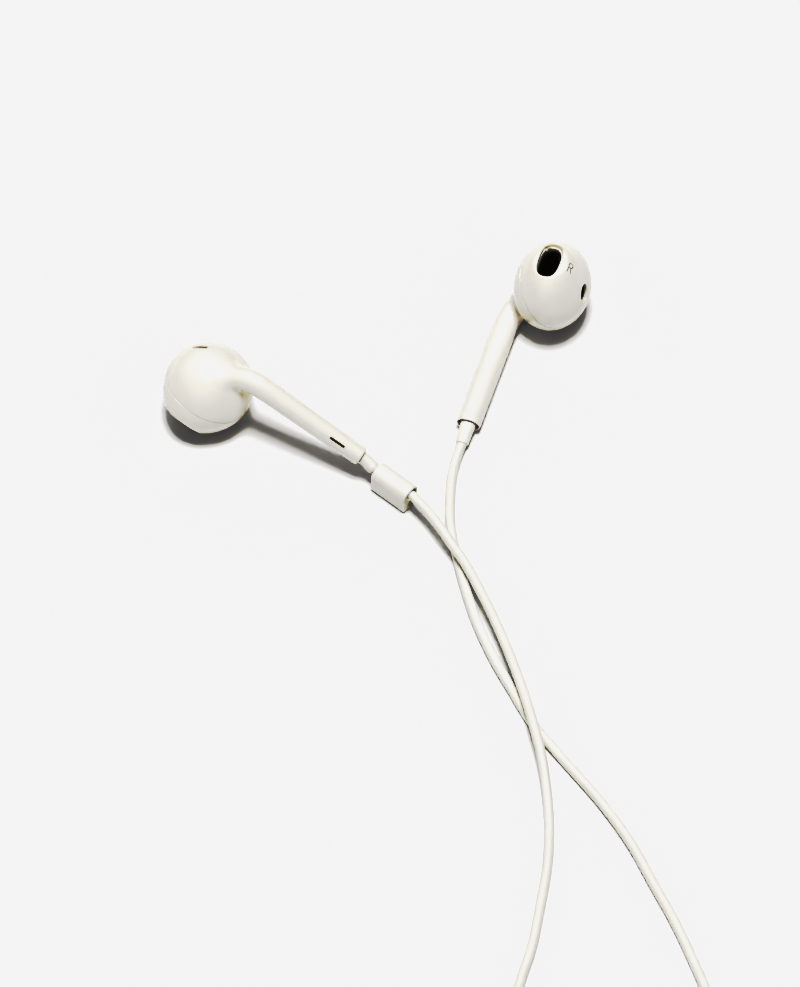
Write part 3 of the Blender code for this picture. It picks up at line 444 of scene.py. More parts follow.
def tube(points, radii, sides=24, hint=(0, 0, 1)):
    pts = np.asarray([tuple(p) for p in points], float)
    hint = np.asarray(hint, float)
    rings = []
    ang = 2 * np.pi * np.arange(sides) / sides
    for i, (t, u, v) in enumerate(frames(pts, hint)):
        r = radii[i] if isinstance(radii, (list, tuple, np.ndarray)) else radii
        ra, rb = r if isinstance(r, (list, tuple, np.ndarray)) else (r, r)
        rings.append(pts[i] + np.outer(ra * np.cos(ang), u) + np.outer(rb * np.sin(ang), v))
    return loft_arrays(rings)


def spline(points, step):
    pts = [Vector(p) for p in points]
    ext = [pts[0] * 2 - pts[1]] + pts + [pts[-1] * 2 - pts[-2]]
    fine = []
    for i in range(1, len(ext) - 2):
        p0, p1, p2, p3 = ext[i - 1:i + 3]
        t0 = 0.0
        t1 = t0 + (p1 - p0).length ** 0.5
        t2 = t1 + (p2 - p1).length ** 0.5
        t3 = t2 + (p3 - p2).length ** 0.5
        for k in range(16):
            t = t1 + (t2 - t1) * k / 16
            a1 = p0 * ((t1 - t) / (t1 - t0)) + p1 * ((t - t0) / (t1 - t0))
            a2 = p1 * ((t2 - t) / (t2 - t1)) + p2 * ((t - t1) / (t2 - t1))
            a3 = p2 * ((t3 - t) / (t3 - t2)) + p3 * ((t - t2) / (t3 - t2))
            b1 = a1 * ((t2 - t) / (t2 - t0)) + a2 * ((t - t0) / (t2 - t0))
            b2 = a2 * ((t3 - t) / (t3 - t1)) + a3 * ((t - t1) / (t3 - t1))
            fine.append(b1 * ((t2 - t) / (t2 - t1)) + b2 * ((t - t1) / (t2 - t1)))
    fine.append(pts[-1])
    length = sum((b - a).length for a, b in zip(fine, fine[1:]))
    count = max(2, round(length / step))
    out, walked, k = [fine[0]], 0.0, 0
    for n in range(1, count):
        want = length * n / count
        while walked + (fine[k + 1] - fine[k]).length < want:
            walked += (fine[k + 1] - fine[k]).length
            k += 1
        seg = fine[k + 1] - fine[k]
        out.append(fine[k] + seg * ((want - walked) / seg.length))
    out.append(fine[-1])
    return out


# ------------------------------------------------------------------ earbuds
def bud_matrix(bud):
    b, e, r = (math.radians(bud[k]) for k in ("bearing", "slope", "roll"))
    s = Vector((math.cos(e) * math.cos(b), math.cos(e) * math.sin(b), math.sin(e)))
    up = (Vector((0, 0, 1)) - s * s.z).normalized()
    side = s.cross(up)
    p = up * math.cos(r) + side * math.sin(r)
    q = s.cross(p)
    return np.array(((p.x, q.x, s.x), (p.y, q.y, s.y), (p.z, q.z, s.z)))


PORT_DIR = np.array((FACET_P, PORT_AT[0], PORT_AT[1])); PORT_DIR = PORT_DIR / np.linalg.norm(PORT_DIR)


def head(P, half, swell=False):
    v = P - HEAD_C
    r = np.sqrt((v * v).sum(-1)) + 1e-9
    d = v / r[..., None]
    R = 1.0 / np.sqrt(((d / half) ** 2).sum(-1))
    if swell:
        off = np.degrees(np.arccos(np.clip(d @ PORT_DIR, -1, 1)))
        R = R * (1 + 0.085 * np.exp(-(off / 32.0) ** 2))
    return r - R


def ellipse2(x, y, a, b):
    k0 = np.sqrt((x / a) ** 2 + (y / b) ** 2) + 1e-9
    k1 = np.sqrt((x / a ** 2) ** 2 + (y / b ** 2) ** 2) + 1e-9
    return k0 * (k0 - 1) / k1


def monotone(x, xp, fp):
    """Smooth (Catmull-Rom) reading of a table."""
    x = np.clip(x, xp[0], xp[-1])
    i = np.clip(np.searchsorted(xp, x) - 1, 0, len(xp) - 2)
    h = xp[i + 1] - xp[i]
    t = (x - xp[i]) / h
    s = np.gradient(fp, xp)
    m0, m1 = s[i] * h, s[i + 1] * h
    return ((2 * t ** 3 - 3 * t ** 2 + 1) * fp[i] + (t ** 3 - 2 * t ** 2 + t) * m0
            + (-2 * t ** 3 + 3 * t ** 2) * fp[i + 1] + (t ** 3 - t ** 2) * m1)


def stem(P):
    s = P[..., 2]
    T = STEM
    cp, cq, hp, hq = (monotone(s, T[:, 2], T[:, k]) for k in (0, 1, 3, 4))
    d = ellipse2(P[..., 0] - cp, P[..., 1] - cq, hp, hq)
    return smax(d, s - 30.5, 1.0)


def seg_distance(P, a, b):
    a, b = np.array(a, float), np.array(b, float)
    ab = b - a
    t = np.clip(((P - a) @ ab) / (ab @ ab), 0, 1)
    return np.sqrt((((P - a) - t[..., None] * ab) ** 2).sum(-1))


def local(point, along):
    n = point / HEAD_A ** 2
    n = n / np.linalg.norm(n)
    t = along - n * (along @ n)
    t = t / np.linalg.norm(t)
    return n, t, np.cross(n, t)


def slot_field(P, point, along, half_l, half_w, round_end=True):
    n, t, b = local(point, along)
    v = P - (HEAD_C + point)
    x, y, z = v @ t, v @ b, v @ n
    if round_end:
        dx = np.maximum(np.abs(x) - (half_l - half_w), 0)
        d = np.sqrt(dx * dx + y * y) - half_w
    else:
        d = ellipse2(x, y, half_l, half_w)
    return d, z


SEAM_D = 0.35


def seam_side(P):
    return (P - HEAD_C) @ SEAM_N - SEAM_D


def outer_rear(P):
    return smin(head(P, HEAD_A, True), stem(P), 1.7)


def rear_field(P):
    w = seam_side(P)
    out = outer_rear(P)
    d = smax(out, w + 0.022, 0.12)
    d = smax(d, -(P[..., 2] - 0.02), 0.30)                # flat stem end
    cav = head(P, HEAD_A - WALL)
    d = smax(d, -cav, 0.25)
    bore = smax(ellipse2(P[..., 0], P[..., 1], 1.48, 1.92), P[..., 2] - 20.4, 0.2)
    d = smax(d, -bore, 0.22)
    path = ((0.05, 0.05, 19.8), (0.15, 0.22, 22.8), (0.75, 1.00, 25.3), (1.70, 2.15, 27.4), (3.0, 3.7, 29.2))
    duct = seg_distance(P, path[0], path[1])
    for a, b in zip(path[1:], path[2:]):
        duct = np.minimum(duct, seg_distance(P, a, b))
    duct = duct - 1.0
    d = smax(d, -duct, 0.25)
    # lip that closes the seam from inside
    lip = smax(smax(head(P, HEAD_A - 0.11), -head(P, HEAD_A - 0.82), 0.06),
               np.abs(w + 0.20) - 0.215, 0.03)
    d = np.minimum(d, lip)
    v, z = slot_field(P, REAR_VENT_AT, REAR_VENT_ALONG, 1.45, 0.40)
    d = smax(d, -smax(v, np.abs(z + 0.2) - 1.6, 0.05), 0.14)
    mid, half = 5.2, 1.6
    dx = np.maximum(np.abs(P[..., 2] - mid) - (half - 0.22), 0)
    slit = np.sqrt(dx ** 2 + (P[..., 0] - 0.40) ** 2) - 0.19
    d = smax(d, -smax(slit, P[..., 1] + 1.2, 0.05), 0.10)
    return d


def opening(y, z, a, b):
    return ((np.abs(y / a) ** 2.8 + np.abs(z / b) ** 2.8) ** (1 / 2.8) - 1) * a


def front_field(P):
    w = seam_side(P)
    v = P - HEAD_C
    out = smax(head(P, HEAD_A, True), v[..., 0] - FACET_P, 0.30)
    d = smax(out, -(w - 0.022), 0.12)
    cav = smax(head(P, HEAD_A - WALL), v[..., 0] - CAVITY_P, 0.2)
    d = smax(d, -cav, 0.2)
    # port: a wide mouth, a narrow ledge at its upper end, then the throat
    y, z = v[..., 1] - PORT_AT[0], v[..., 2] - PORT_AT[1]
    mouth = smax(opening(y, z, PORT_HALF[0], PORT_HALF[1]), LEDGE_P - v[..., 0], 0.06)
    throat = smax(opening(y, z + LEDGE_DROP, PORT_HALF[0] - 0.13, PORT_HALF[1] - 0.44), 4.5 - v[..., 0], 0.1)
    gap = np.maximum(opening(y, z, PORT_HALF[0] - 0.06, PORT_HALF[1]),
                     -opening(y, z + 0.26, PORT_HALF[0] - 0.16, PORT_HALF[1] - 0.30))
    gap = np.maximum(gap, np.maximum(LEDGE_P - 0.75 - v[..., 0], 2.3 - z))
    d = smax(d, -mouth, 0.28)
    d = smax(d, -throat, 0.12)
    d = smax(d, -gap, 0.08)
    e, zz = slot_field(P, SIDE_PORT_AT, SIDE_PORT_ALONG, 1.70, 1.12, False)
    d = smax(d, -smax(e, np.abs(zz + 0.25) - 1.45, 0.05), 0.24)
    return d


def weave(half_y, half_z, pitch, r):
    """Woven wire screen in the plane x = 0, cut to an oval, with its rim."""
    out = []
    lim = lambda a, u: a * max(0.0, 1 - u * u) ** 0.5
    n = int(half_y / pitch)
    for i in range(-n, n + 1):
        y = i * pitch
        L = lim(half_z, y / half_y)
        if L < pitch:
            continue
        t = np.arange(-L, L + 1e-6, pitch / 4)
        pts = [(r * math.cos(math.pi * (z / pitch + i)), y, z) for z in t]
        out.append(tube(pts, r, 6, (1, 0, 0)))
    n = int(half_z / pitch)
    for i in range(-n, n + 1):
        z = i * pitch
        L = lim(half_y, z / half_z)
        if L < pitch:
            continue
        t = np.arange(-L, L + 1e-6, pitch / 4)
        pts = [(-r * math.cos(math.pi * (y / pitch + i)), y, z) for y in t]
        out.append(tube(pts, r, 6, (1, 0, 0)))
    a = 2 * np.pi * np.arange(49) / 48
    rings = []
    for k in range(48):
        c, s = math.cos(a[k]), math.sin(a[k])
        rings.append([(x, c * (half_y + o), s * (half_z + o)) for x, o in
                      ((-0.14, -0.10), (0.10, -0.10), (0.10, 0.10), (-0.14, 0.10))])
    rings.append(rings[0])
    out.append(loft_arrays(rings, caps=False))
    back = [(-0.30, half_y * math.cos(t), half_z * math.sin(t)) for t in a[:-1]]
    backt = [(-0.18, half_y * math.cos(t), half_z * math.sin(t)) for t in a[:-1]]
    out.append(loft_arrays([back, backt]))
    return merge(out)


BUD_H = 0.15
REAR = nets(rear_field, (-3.4, -3.2, -0.6), (15.0, 15.0, 38.8), BUD_H)
FRONT = nets(front_field, (-3.4, -1.2, 20.6), (15.4, 15.0, 38.8), BUD_H)
GRILLE = weave(PORT_HALF[0] - 0.27, PORT_HALF[1] - 0.58, 0.27, 0.062)
GRILLE_P = 6.35

# printed side letters, drawn in millimetres about MARK_AT on the front shell
MARK_AT = np.array((7.47, 3.72, 0.04))
MARK_W = 0.10
STROKES = {
    "right": [[(-0.40, -0.90), (-0.40, 0.90), (0.10, 0.90), (0.34, 0.78), (0.43, 0.48),
               (0.34, 0.18), (0.10, 0.04), (-0.40, 0.04)], [(0.04, 0.04), (0.43, -0.90)]],
    "left": [[(-0.36, 0.90), (-0.36, -0.90), (0.42, -0.90)]]}


def side_letter(ob, tag, mirror, m3, end):
    """Splits the skin finely about the letter and gives its strokes their own material."""
    n, t, b = local(MARK_AT, np.array((0.0, 0.0, 1.0)))
    me = ob.data
    me.materials.append(MARK)

    def bud(co):
        w = co / MM + np.array((*SPLITTER_AT, 0.0)) - end
        return (w @ m3) * np.array((1, mirror, 1))

    def flat(co):
        v = bud(co) - HEAD_C - MARK_AT
        return -mirror * (v @ b), v @ t, v @ n

    c = np.empty(len(me.polygons) * 3)
    me.polygons.foreach_get("center", c)
    x, y, z = flat(c.reshape(-1, 3))
    near = np.nonzero((np.abs(x) < 0.75) & (np.abs(y) < 1.2) & (np.abs(z) < 0.45))[0]
    bm = bmesh.new()
    bm.from_mesh(me)
    bm.faces.ensure_lookup_table()
    edges = {e for i in near for e in bm.faces[int(i)].edges}
    old = len(bm.verts)
    bmesh.ops.subdivide_edges(bm, edges=sorted(edges, key=lambda e: e.index), cuts=4,
                              use_grid_fill=True)
    bm.verts.ensure_lookup_table()
    P = bud(np.array([tuple(v.co) for v in bm.verts[old:]]))
    for _ in range(2):
        val = front_field(P)
        g = np.stack([(front_field(P + np.eye(3)[i] * 0.02) - front_field(P - np.eye(3)[i] * 0.02)) / 0.04
                      for i in range(3)], 1)
        P = P - val[:, None] * g / np.maximum((g * g).sum(1), 0.2)[:, None]
    back = part((P * np.array((1, mirror, 1))) @ m3.T + end)
    for v, co in zip(bm.verts[old:], back):
        v.co = co
    for f in bm.faces:
        co = np.array(f.calc_center_median())
        if np.abs(co - MARK_W0[tag]).max() > 0.0016:
            continue
        x, y, z = flat(co)
        if abs(z) > 0.45:
            continue
        for line in STROKES[tag]:
            for a, e in zip(line, line[1:]):
                ab = np.array(e) - np.array(a)
                k = np.clip(((np.array((x, y)) - a) @ ab) / (ab @ ab), 0, 1)
                if np.hypot(*(np.array((x, y)) - a - k * ab)) < MARK_W:
                    f.material_index = 1
    bm.normal_update()
    bm.to_mesh(me)
    bm.free()


MARK_W0 = {}


def build_bud(tag, mirror, bud):
    m3 = bud_matrix(bud)
    end = np.array(bud["end"], float)
    pivot = np.array(bud["pivot"], float)
    body = tag + "_earbud"

    def world(v):
        v = np.asarray(v, float) * np.array((1, mirror, 1))
        out = part(np.atleast_2d(v @ m3.T + end))
        return out if v.ndim > 1 else out[0]

    flip = mirror < 0
    for base, (v, f) in (("rear_shell", REAR), ("front_shell", FRONT)):
        ob = mesh_object("look_%s_%s" % (base, tag), world(v), f, SHELL, 60.0, flip)
        if base == "front_shell":
            MARK_W0[tag] = world(HEAD_C + MARK_AT)
            side_letter(ob, tag, mirror, m3, end)
        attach(ob, body)
        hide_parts("%s_%s" % (base, tag))
    v, f = GRILLE
    v = v + np.array((HEAD_C[0] + GRILLE_P, HEAD_C[1] + PORT_AT[0], HEAD_C[2] + PORT_AT[1] - LEDGE_DROP))
    ob = mesh_object("look_port_grille_" + tag, world(v), f, MESHB, 40.0, flip)
    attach(ob, body)
    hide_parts("port_grille_" + tag)

    # strain relief, bending from the stem end towards the lead
    tail = m3.T @ (pivot - end) * np.array((1, mirror, 1))
    a0, a1 = np.array((0, 0, 1.5)), np.array((0, 0, -1.3))
    path, radii = [], []
    n = 40
    for k in range(n + 1):
        t = k / n
        path.append(a0 * (1 - t) ** 2 + a1 * 2 * t * (1 - t) + tail * t * t)
        w = max(0.0, (t - 0.18) / 0.82)
        ra, rb = 1.20 - 0.04 * w, 1.50 - 0.32 * w
        if t < 0.22:
            dome = math.sqrt(max(0.0, 1 - (1 - t / 0.22) ** 2))
            ra, rb = 0.35 + (ra - 0.35) * dome, 0.55 + (rb - 0.55) * dome
        radii.append((ra, rb))
    # rounded end lip
    d = (path[-1] - path[-2]) / np.linalg.norm(path[-1] - path[-2])
    path[-1] = path[-1] - d * 0.10
    reach = 0.35 if tag == "left" else 0.0
    for off, r in ((0.04, 1.13), (0.09, 1.05), (0.10, 0.95)):
        path.append(path[n] + d * (off + reach))
        radii.append((r, r + 0.01))
    v, f = tube(path, radii, 36, (1, 0, 0))
    ob = mesh_object("look_strain_relief_" + tag, world(v), f, RELIEF, 40.0, flip)
    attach(ob, body)
    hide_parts("strain_relief_" + tag)
    out_dir = m3 @ ((tail - a1) * np.array((1, mirror, 1)))
    return pivot, out_dir / np.linalg.norm(out_dir)


rp, r_dir = build_bud("right", 1.0, RIGHT_BUD)
lp, l_dir = build_bud("left", -1.0, LEFT_BUD)

# -------------------------------------------------------------------- cinch
start_dir = heading(ARC_HEADING)
centre = Vector(lp) + Vector((start_dir.y, -start_dir.x, 0)) * ARC_R


def arc_point(length):
    a = math.radians(ARC_HEADING + 90.0) - length / ARC_R
    return Vector((centre.x + ARC_R * math.cos(a), centre.y + ARC_R * math.sin(a), float(lp[2])))


SL = 8.0
mid_len = 0.8 + SL / 2
mid_pt = arc_point(mid_len)
mid_heading = math.radians(ARC_HEADING) - mid_len / ARC_R


def slider_field(P):
    x, y, z = P[..., 0], P[..., 1], P[..., 2]
    # upright tablet with a round back over the lead
    zc = 2.90
    r_top = 1.65
    qx = np.abs(x) - (SL / 2 - 0.40)
    rad = np.where(z > zc, r_top, 0.45)
    qy = np.abs(y + 0.35) - (2.0 - rad)
    qz = np.abs(z - zc) - (2.75 - rad)
    d2 = np.sqrt(np.maximum(qy, 0) ** 2 + np.maximum(qz, 0) ** 2) + np.minimum(np.maximum(qy, qz), 0) - rad
    d = smax(d2, qx - 0.40, 0.36)
    bore = np.sqrt(y ** 2 + (z - 4.0) ** 2) - 1.10 - 0.12 * np.clip((-x - SL / 2 + 1.2) / 1.2, 0, 1)
    d = smax(d, -bore, 0.22)
    clip = np.sqrt(y ** 2 + (z - 1.42) ** 2) - 0.98
    mouth = np.maximum(np.abs(z - 1.42) - 0.60, -y)
    d = smax(d, -np.minimum(clip, mouth), 0.16)
    return d


v, f = nets(slider_field, (-SL / 2 - 0.7, -2.7, -0.2), (SL / 2 + 0.3, 2.1, 6.0), 0.11)
c, s = math.cos(mid_heading), math.sin(mid_heading)
rot = np.array(((c, -s, 0), (s, c, 0), (0, 0, 1)))
ob = mesh_object("look_cable_slider", part(v @ rot.T + np.array((mid_pt.x, mid_pt.y, 0))), f, SLIDER, 60.0)
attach(ob, "slider")
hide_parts("cable_slider")

# -------------------------------------------------------------------- leads
STEP = 0.7
SIDES = 28
n_arc = 9
path = [arc_point(JOIN + (ARC_LENGTH - JOIN) * k / n_arc) for k in range(n_arc)]
sp_dir = heading(SPLITTER_HEADING)
sp_side = Vector((-sp_dir.y, sp_dir.x, 0))


def splitter_point(along, across, z):
    v = Vector((*SPLITTER_AT, 0)) + sp_dir * along + sp_side * across
    return (v.x, v.y, z)


tail = [arc_point(ARC_LENGTH)] + [Vector(p) for p in LEFT_LEAD]
tail += [Vector(splitter_point(-7.6, -TWIN_OFFSET, 1.5)), Vector(splitter_point(-4.6, -TWIN_OFFSET, 1.5))]
body = spline([tuple(p) for p in path + tail], STEP)
first = Vector(lp) - Vector(l_dir) * 0.9
pts = [first, Vector(lp) - Vector(l_dir) * 0.35, Vector(lp) + (Vector(l_dir) + start_dir).normalized() * 0.0] + body
v, f = tube(part(pts) , CABLE_R * MM, SIDES)
ob = mesh_object("look_left_lead", v, f, CABLE, 40.0)
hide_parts("left_lead")
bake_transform(ob)

rem_top, rem_end = Vector((*REMOTE_TOP, 0)), Vector((*REMOTE_END, 0))
rem_dir = (rem_end - rem_top).normalized()
enter = rem_top + rem_dir * 1.1
start = Vector(rp) + (Vector(RIGHT_LEAD_UPPER[0]) - Vector(rp)).normalized() * JOIN
body = spline([tuple(start)] + list(RIGHT_LEAD_UPPER)
              + [(*(rem_top - rem_dir * 1.5).xy, REMOTE_SPLIT), (*enter.xy, REMOTE_SPLIT)], STEP)
pts = [Vector(rp) - Vector(r_dir) * 0.9, Vector(rp) - Vector(r_dir) * 0.4, Vector(rp)] + body
v, f = tube(part(pts), CABLE_R * MM, SIDES)
ob = mesh_object("look_right_lead_upper", v, f, CABLE, 40.0)
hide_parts("right_lead_upper")
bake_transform(ob)

leave = rem_end - rem_dir * 1.1
body = spline([(*leave.xy, REMOTE_SPLIT), (*(rem_end + rem_dir * 1.5).xy, REMOTE_SPLIT)]
              + list(RIGHT_LEAD_LOWER)
              + [splitter_point(-7.6, TWIN_OFFSET, 1.5), splitter_point(-4.6, TWIN_OFFSET, 1.5)], STEP)
v, f = tube(part(body), CABLE_R * MM, SIDES)
ob = mesh_object("look_right_lead_lower", v, f, CABLE, 40.0)
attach(ob, "cable_harness")
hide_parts("right_lead_lower")

# --------------------------------------------------------------- main cable
exit_pt = Vector(splitter_point(6.0, 0, 0))
rel = exit_pt - Vector((*COIL_C, 0))
angle0, r0 = math.atan2(rel.y, rel.x), rel.length


def coil_point(turns):
    r = (COIL_R - COIL_PITCH * turns + (r0 - COIL_R) * math.exp(-turns / COIL_LEADIN_TURNS))
    a = angle0 - 2 * math.pi * turns
    return Vector((COIL_C[0] + r * math.cos(a), COIL_C[1] + r * math.sin(a), CABLE_Z))


last_k = int(COIL_TURNS * COIL_STEPS)
path = [Vector(splitter_point(4.8, 0, 1.5)), Vector(splitter_point(7.2, 0, 1.4))]
sub = 8
for k in range(1, last_k * sub + 1):
    p = coil_point(k / sub / COIL_STEPS)
    if k / sub < 2:
        p.z = CABLE_Z + 0.35 * max(0.0, 1 - k / sub / 2) ** 2
    if k / sub < 1:
        if k / sub < 0.45:
            continue
    path.append(p)
last, before_last = coil_point(last_k / COIL_STEPS), coil_point((last_k - 1) / COIL_STEPS)
d = (last - before_last).normalized()
base = math.degrees(math.atan2(d.y, d.x))
c2 = last + Vector((d.y, -d.x, 0)) * COIL_TAIL_R
tail_steps = 60
tail_path = [last]
for k in range(1, tail_steps + 1):
    u = k / tail_steps
    a = math.radians(base + 90.0 - COIL_TAIL_TURN * u)
    kk = u * 9
    z = CABLE_Z + 0.35 * max(0.0, (kk - 5) / 4) ** 1.5
    tail_path.append(Vector((c2.x + COIL_TAIL_R * math.cos(a), c2.y + COIL_TAIL_R * math.sin(a), z)))
v, f = tube(part(path), CABLE_R * MM, SIDES)
ob = mesh_object("look_main_cable", v, f, CABLE, 40.0)
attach(ob, "cable_harness")
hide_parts("main_cable")
plug_heading = base - COIL_TAIL_TURN
plug_dir = heading(plug_heading)
plug_pivot = tail_path[-1] + plug_dir * JOIN
more = [plug_pivot, plug_pivot + plug_dir * 0.9]
v, f = tube(part(tail_path + more), CABLE_R * MM, SIDES)
ob = mesh_object("look_cable_tail", v, f, CABLE, 40.0)
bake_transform(ob)

# --------------------------------------------------------------------- plug
lift = PLUG_BODY_R - plug_pivot.z
ph = math.radians(plug_heading)
prot = np.array(((math.cos(ph), -math.sin(ph), 0), (math.sin(ph), math.cos(ph), 0), (0, 0, 1)))


def plug_world(v):
    return part(np.asarray(v, float) @ prot.T + np.array(plug_pivot))


def turned(profile, segs=48, close=False):
    """Profile of (x, r) turned about the plug axis, which is lifted."""
    rings = []
    a = 2 * np.pi * np.arange(segs) / segs
    for x, r in profile:
        rings.append(np.stack([np.full(segs, x), r * np.cos(a), lift + r * np.sin(a)], 1))
    if close:
        rings.append(rings[0])
        return loft_arrays(rings, caps=False)
    return loft_arrays(rings)


path, radii = [], []
for k in range(0, 49):
    t = k / 48
    x = 0.15 + (PLUG_RELIEF_L - 0.05) * t
    path.append((x, 0, lift * (3 * t * t - 2 * t ** 3)))
    r = 1.15 + 0.65 * t ** 1.6
    rib = 0.0
    if 0.08 < t < 0.86:
        rib = -0.13 * max(0.0, math.cos(2 * math.pi * (t - 0.08) / 0.78 * 6)) ** 3
    radii.append(r + rib)
v, f = tube(path, radii, 36)
ob = mesh_object("look_plug_relief", plug_world(v), f, RELIEF, 35.0)
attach(ob, "plug"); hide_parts("plug_relief")
x0 = PLUG_RELIEF_L + 0.12
x1 = PLUG_RELIEF_L + 0.2 + PLUG_BODY_L
prof = []
for k in range(9):
    a = math.pi / 2 * k / 8
    prof.append((x0 + 0.8 * (1 - math.cos(a)), 1.75 + (PLUG_BODY_R - 1.75) * math.sin(a)))
for k in range(9):
    a = math.pi / 2 * k / 8
    prof.append((x1 - 0.45 * (1 - math.sin(a)), PLUG_BODY_R - 0.45 * (1 - math.cos(a))))
prof.append((x1, 1.95))
v, f = turned(prof, 56)
ob = mesh_object("look_plug_housing", plug_world(v), f, SHELL, 40.0)
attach(ob, "plug"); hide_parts("plug_housing")
z = x1 + 0.15
for name, length, mat, r, slot in (
        ("plug_sleeve", 4.3, CONTACT, JACK_R, "plug_contact"),
        ("plug_insulator_1", 0.5, INSULATOR, JACK_R - 0.04, "plug_insulator"),
        ("plug_ring_2", 2.2, CONTACT, JACK_R, "plug_contact"),
        ("plug_insulator_2", 0.5, INSULATOR, JACK_R - 0.04, "plug_insulator"),
        ("plug_ring_1", 2.2, CONTACT, JACK_R, "plug_contact"),
        ("plug_insulator_3", 0.5, INSULATOR, JACK_R - 0.04, "plug_insulator")):
    b = 0.06
    a0_, a1_ = z - 0.03, z + length + 0.03
    if name == "plug_sleeve":
        a0_ = z - 0.16
    v, f = turned(((a0_, 0.8), (a0_, r - b), (a0_ + b * 0.4, r - b * 0.35), (a0_ + b, r), (a1_ - b, r),
                   (a1_ - b * 0.4, r - b * 0.35), (a1_, r - b), (a1_, 0.8)), 48, close=True)
    ob = mesh_object("look_" + name, plug_world(v), f, mat, 50.0)
    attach(ob, "plug"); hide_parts(name)
    z += length + 0.15
prof = [(x1 + 0.15, 0.5), (z - 0.03, 0.5), (z - 0.03, 1.45), (z + 0.03, 1.56), (z + 0.25, 1.55),
        (z + 0.6, 1.36), (z + 0.9, 1.29), (z + 1.2, 1.38), (z + 1.6, 1.63), (z + 1.9, 1.72),
        (z + 2.15, 1.71), (z + 2.45, 1.58), (z + 2.8, 1.28), (z + 3.1, 0.98), (z + 3.3, 0.72),
        (z + 3.41, 0.45), (z + 3.45, 0.15)]
v, f = turned(prof, 48)
ob = mesh_object("look_plug_tip", plug_world(v), f, CONTACT, 50.0)
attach(ob, "plug"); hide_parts("plug_tip")


# ------------------------------------------------------------------ splitter
def splitter_field(P):
    x, y, z = P[..., 0], P[..., 1], P[..., 2]
    w = np.interp(x, (-6.2, -5.0, -1.5, 3.2, 5.6, 6.2), (2.90, 2.97, 2.90, 2.18, 1.96, 1.90))
    h = np.interp(x, (-6.2, -5.0, 5.6, 6.2), (1.60, 1.65, 1.55, 1.50))
    r = 1.25
    qy, qz = np.abs(y) - (w - r), np.abs(z - 1.40) - (h - r)
    d = np.sqrt(np.maximum(qy, 0) ** 2 + np.maximum(qz, 0) ** 2) + np.minimum(np.maximum(qy, qz), 0) - r
    d = smax(d, np.abs(x) - 6.0, 1.1)
    d = smax(d, -z, 0.15)
    for y0, rr, xa, xb in ((-TWIN_OFFSET, 1.02, -9.0, -4.2), (TWIN_OFFSET, 1.02, -9.0, -4.2), (0.0, 1.06, 4.4, 9.0)):
        bore = np.maximum(np.sqrt((y - y0) ** 2 + (z - 1.5) ** 2) - rr, np.abs(x - (xa + xb) / 2) - (xb - xa) / 2)
        d = smax(d, -bore, 0.18)
    return d


def placed(v, angle_deg, at):
    a = math.radians(angle_deg)
    r = np.array(((math.cos(a), -math.sin(a), 0), (math.sin(a), math.cos(a), 0), (0, 0, 1)))
    return part(v @ r.T + np.array(at))


v, f = nets(splitter_field, (-6.6, -3.4, -0.3), (6.6, 3.4, 3.6), 0.12)
ob = mesh_object("look_splitter", placed(v, SPLITTER_HEADING, (*SPLITTER_AT, 0)), f, SHELL, 60.0)
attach(ob, "cable_harness"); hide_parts("splitter")

# -------------------------------------------------------------------- remote
rem_mid = (rem_top + rem_end) / 2
hx, hy = (rem_end - rem_top).length / 2, REMOTE_W / 2
rem_ang = math.degrees(math.atan2(-rem_dir.y, -rem_dir.x))


def stadium2(x, y, a, b):
    dx = np.maximum(np.abs(x) - (a - b), 0)
    return np.sqrt(dx * dx + y * y) - b


def remote_body(P):
    x, y, z = P[..., 0], P[..., 1], P[..., 2]
    d = stadium2(x, y, hx, hy)
    return smax(d, np.abs(z - REMOTE_H / 2) - REMOTE_H / 2, 1.5)


def remote_room(P):
    x, y, z = P[..., 0], P[..., 1], P[..., 2]
    d = stadium2(x, y, hx - REMOTE_WALL, hy - REMOTE_WALL)
    d = np.maximum(d, np.abs(z - 2.125) - 1.325)
    sock = np.sqrt(y ** 2 + (z - REMOTE_SPLIT) ** 2) - 1.06
    return np.minimum(d, np.maximum(sock, -(np.abs(x) - (hx - 2.6))))


def remote_half(P, upper):
    z = P[..., 2]
    d = remote_body(P)
    d = smax(d, (REMOTE_SPLIT + 0.05 - z) if upper else (z - REMOTE_SPLIT + 0.05), 0.16)
    d = smax(d, -remote_room(P), 0.14)
    if upper:
        for _, x, length, _b in BUTTONS:
            hole = stadium2(P[..., 0] - x, P[..., 1], length / 2, BUTTON_W / 2)
            d = smax(d, -np.maximum(hole, 3.0 - z), 0.2)
    return d


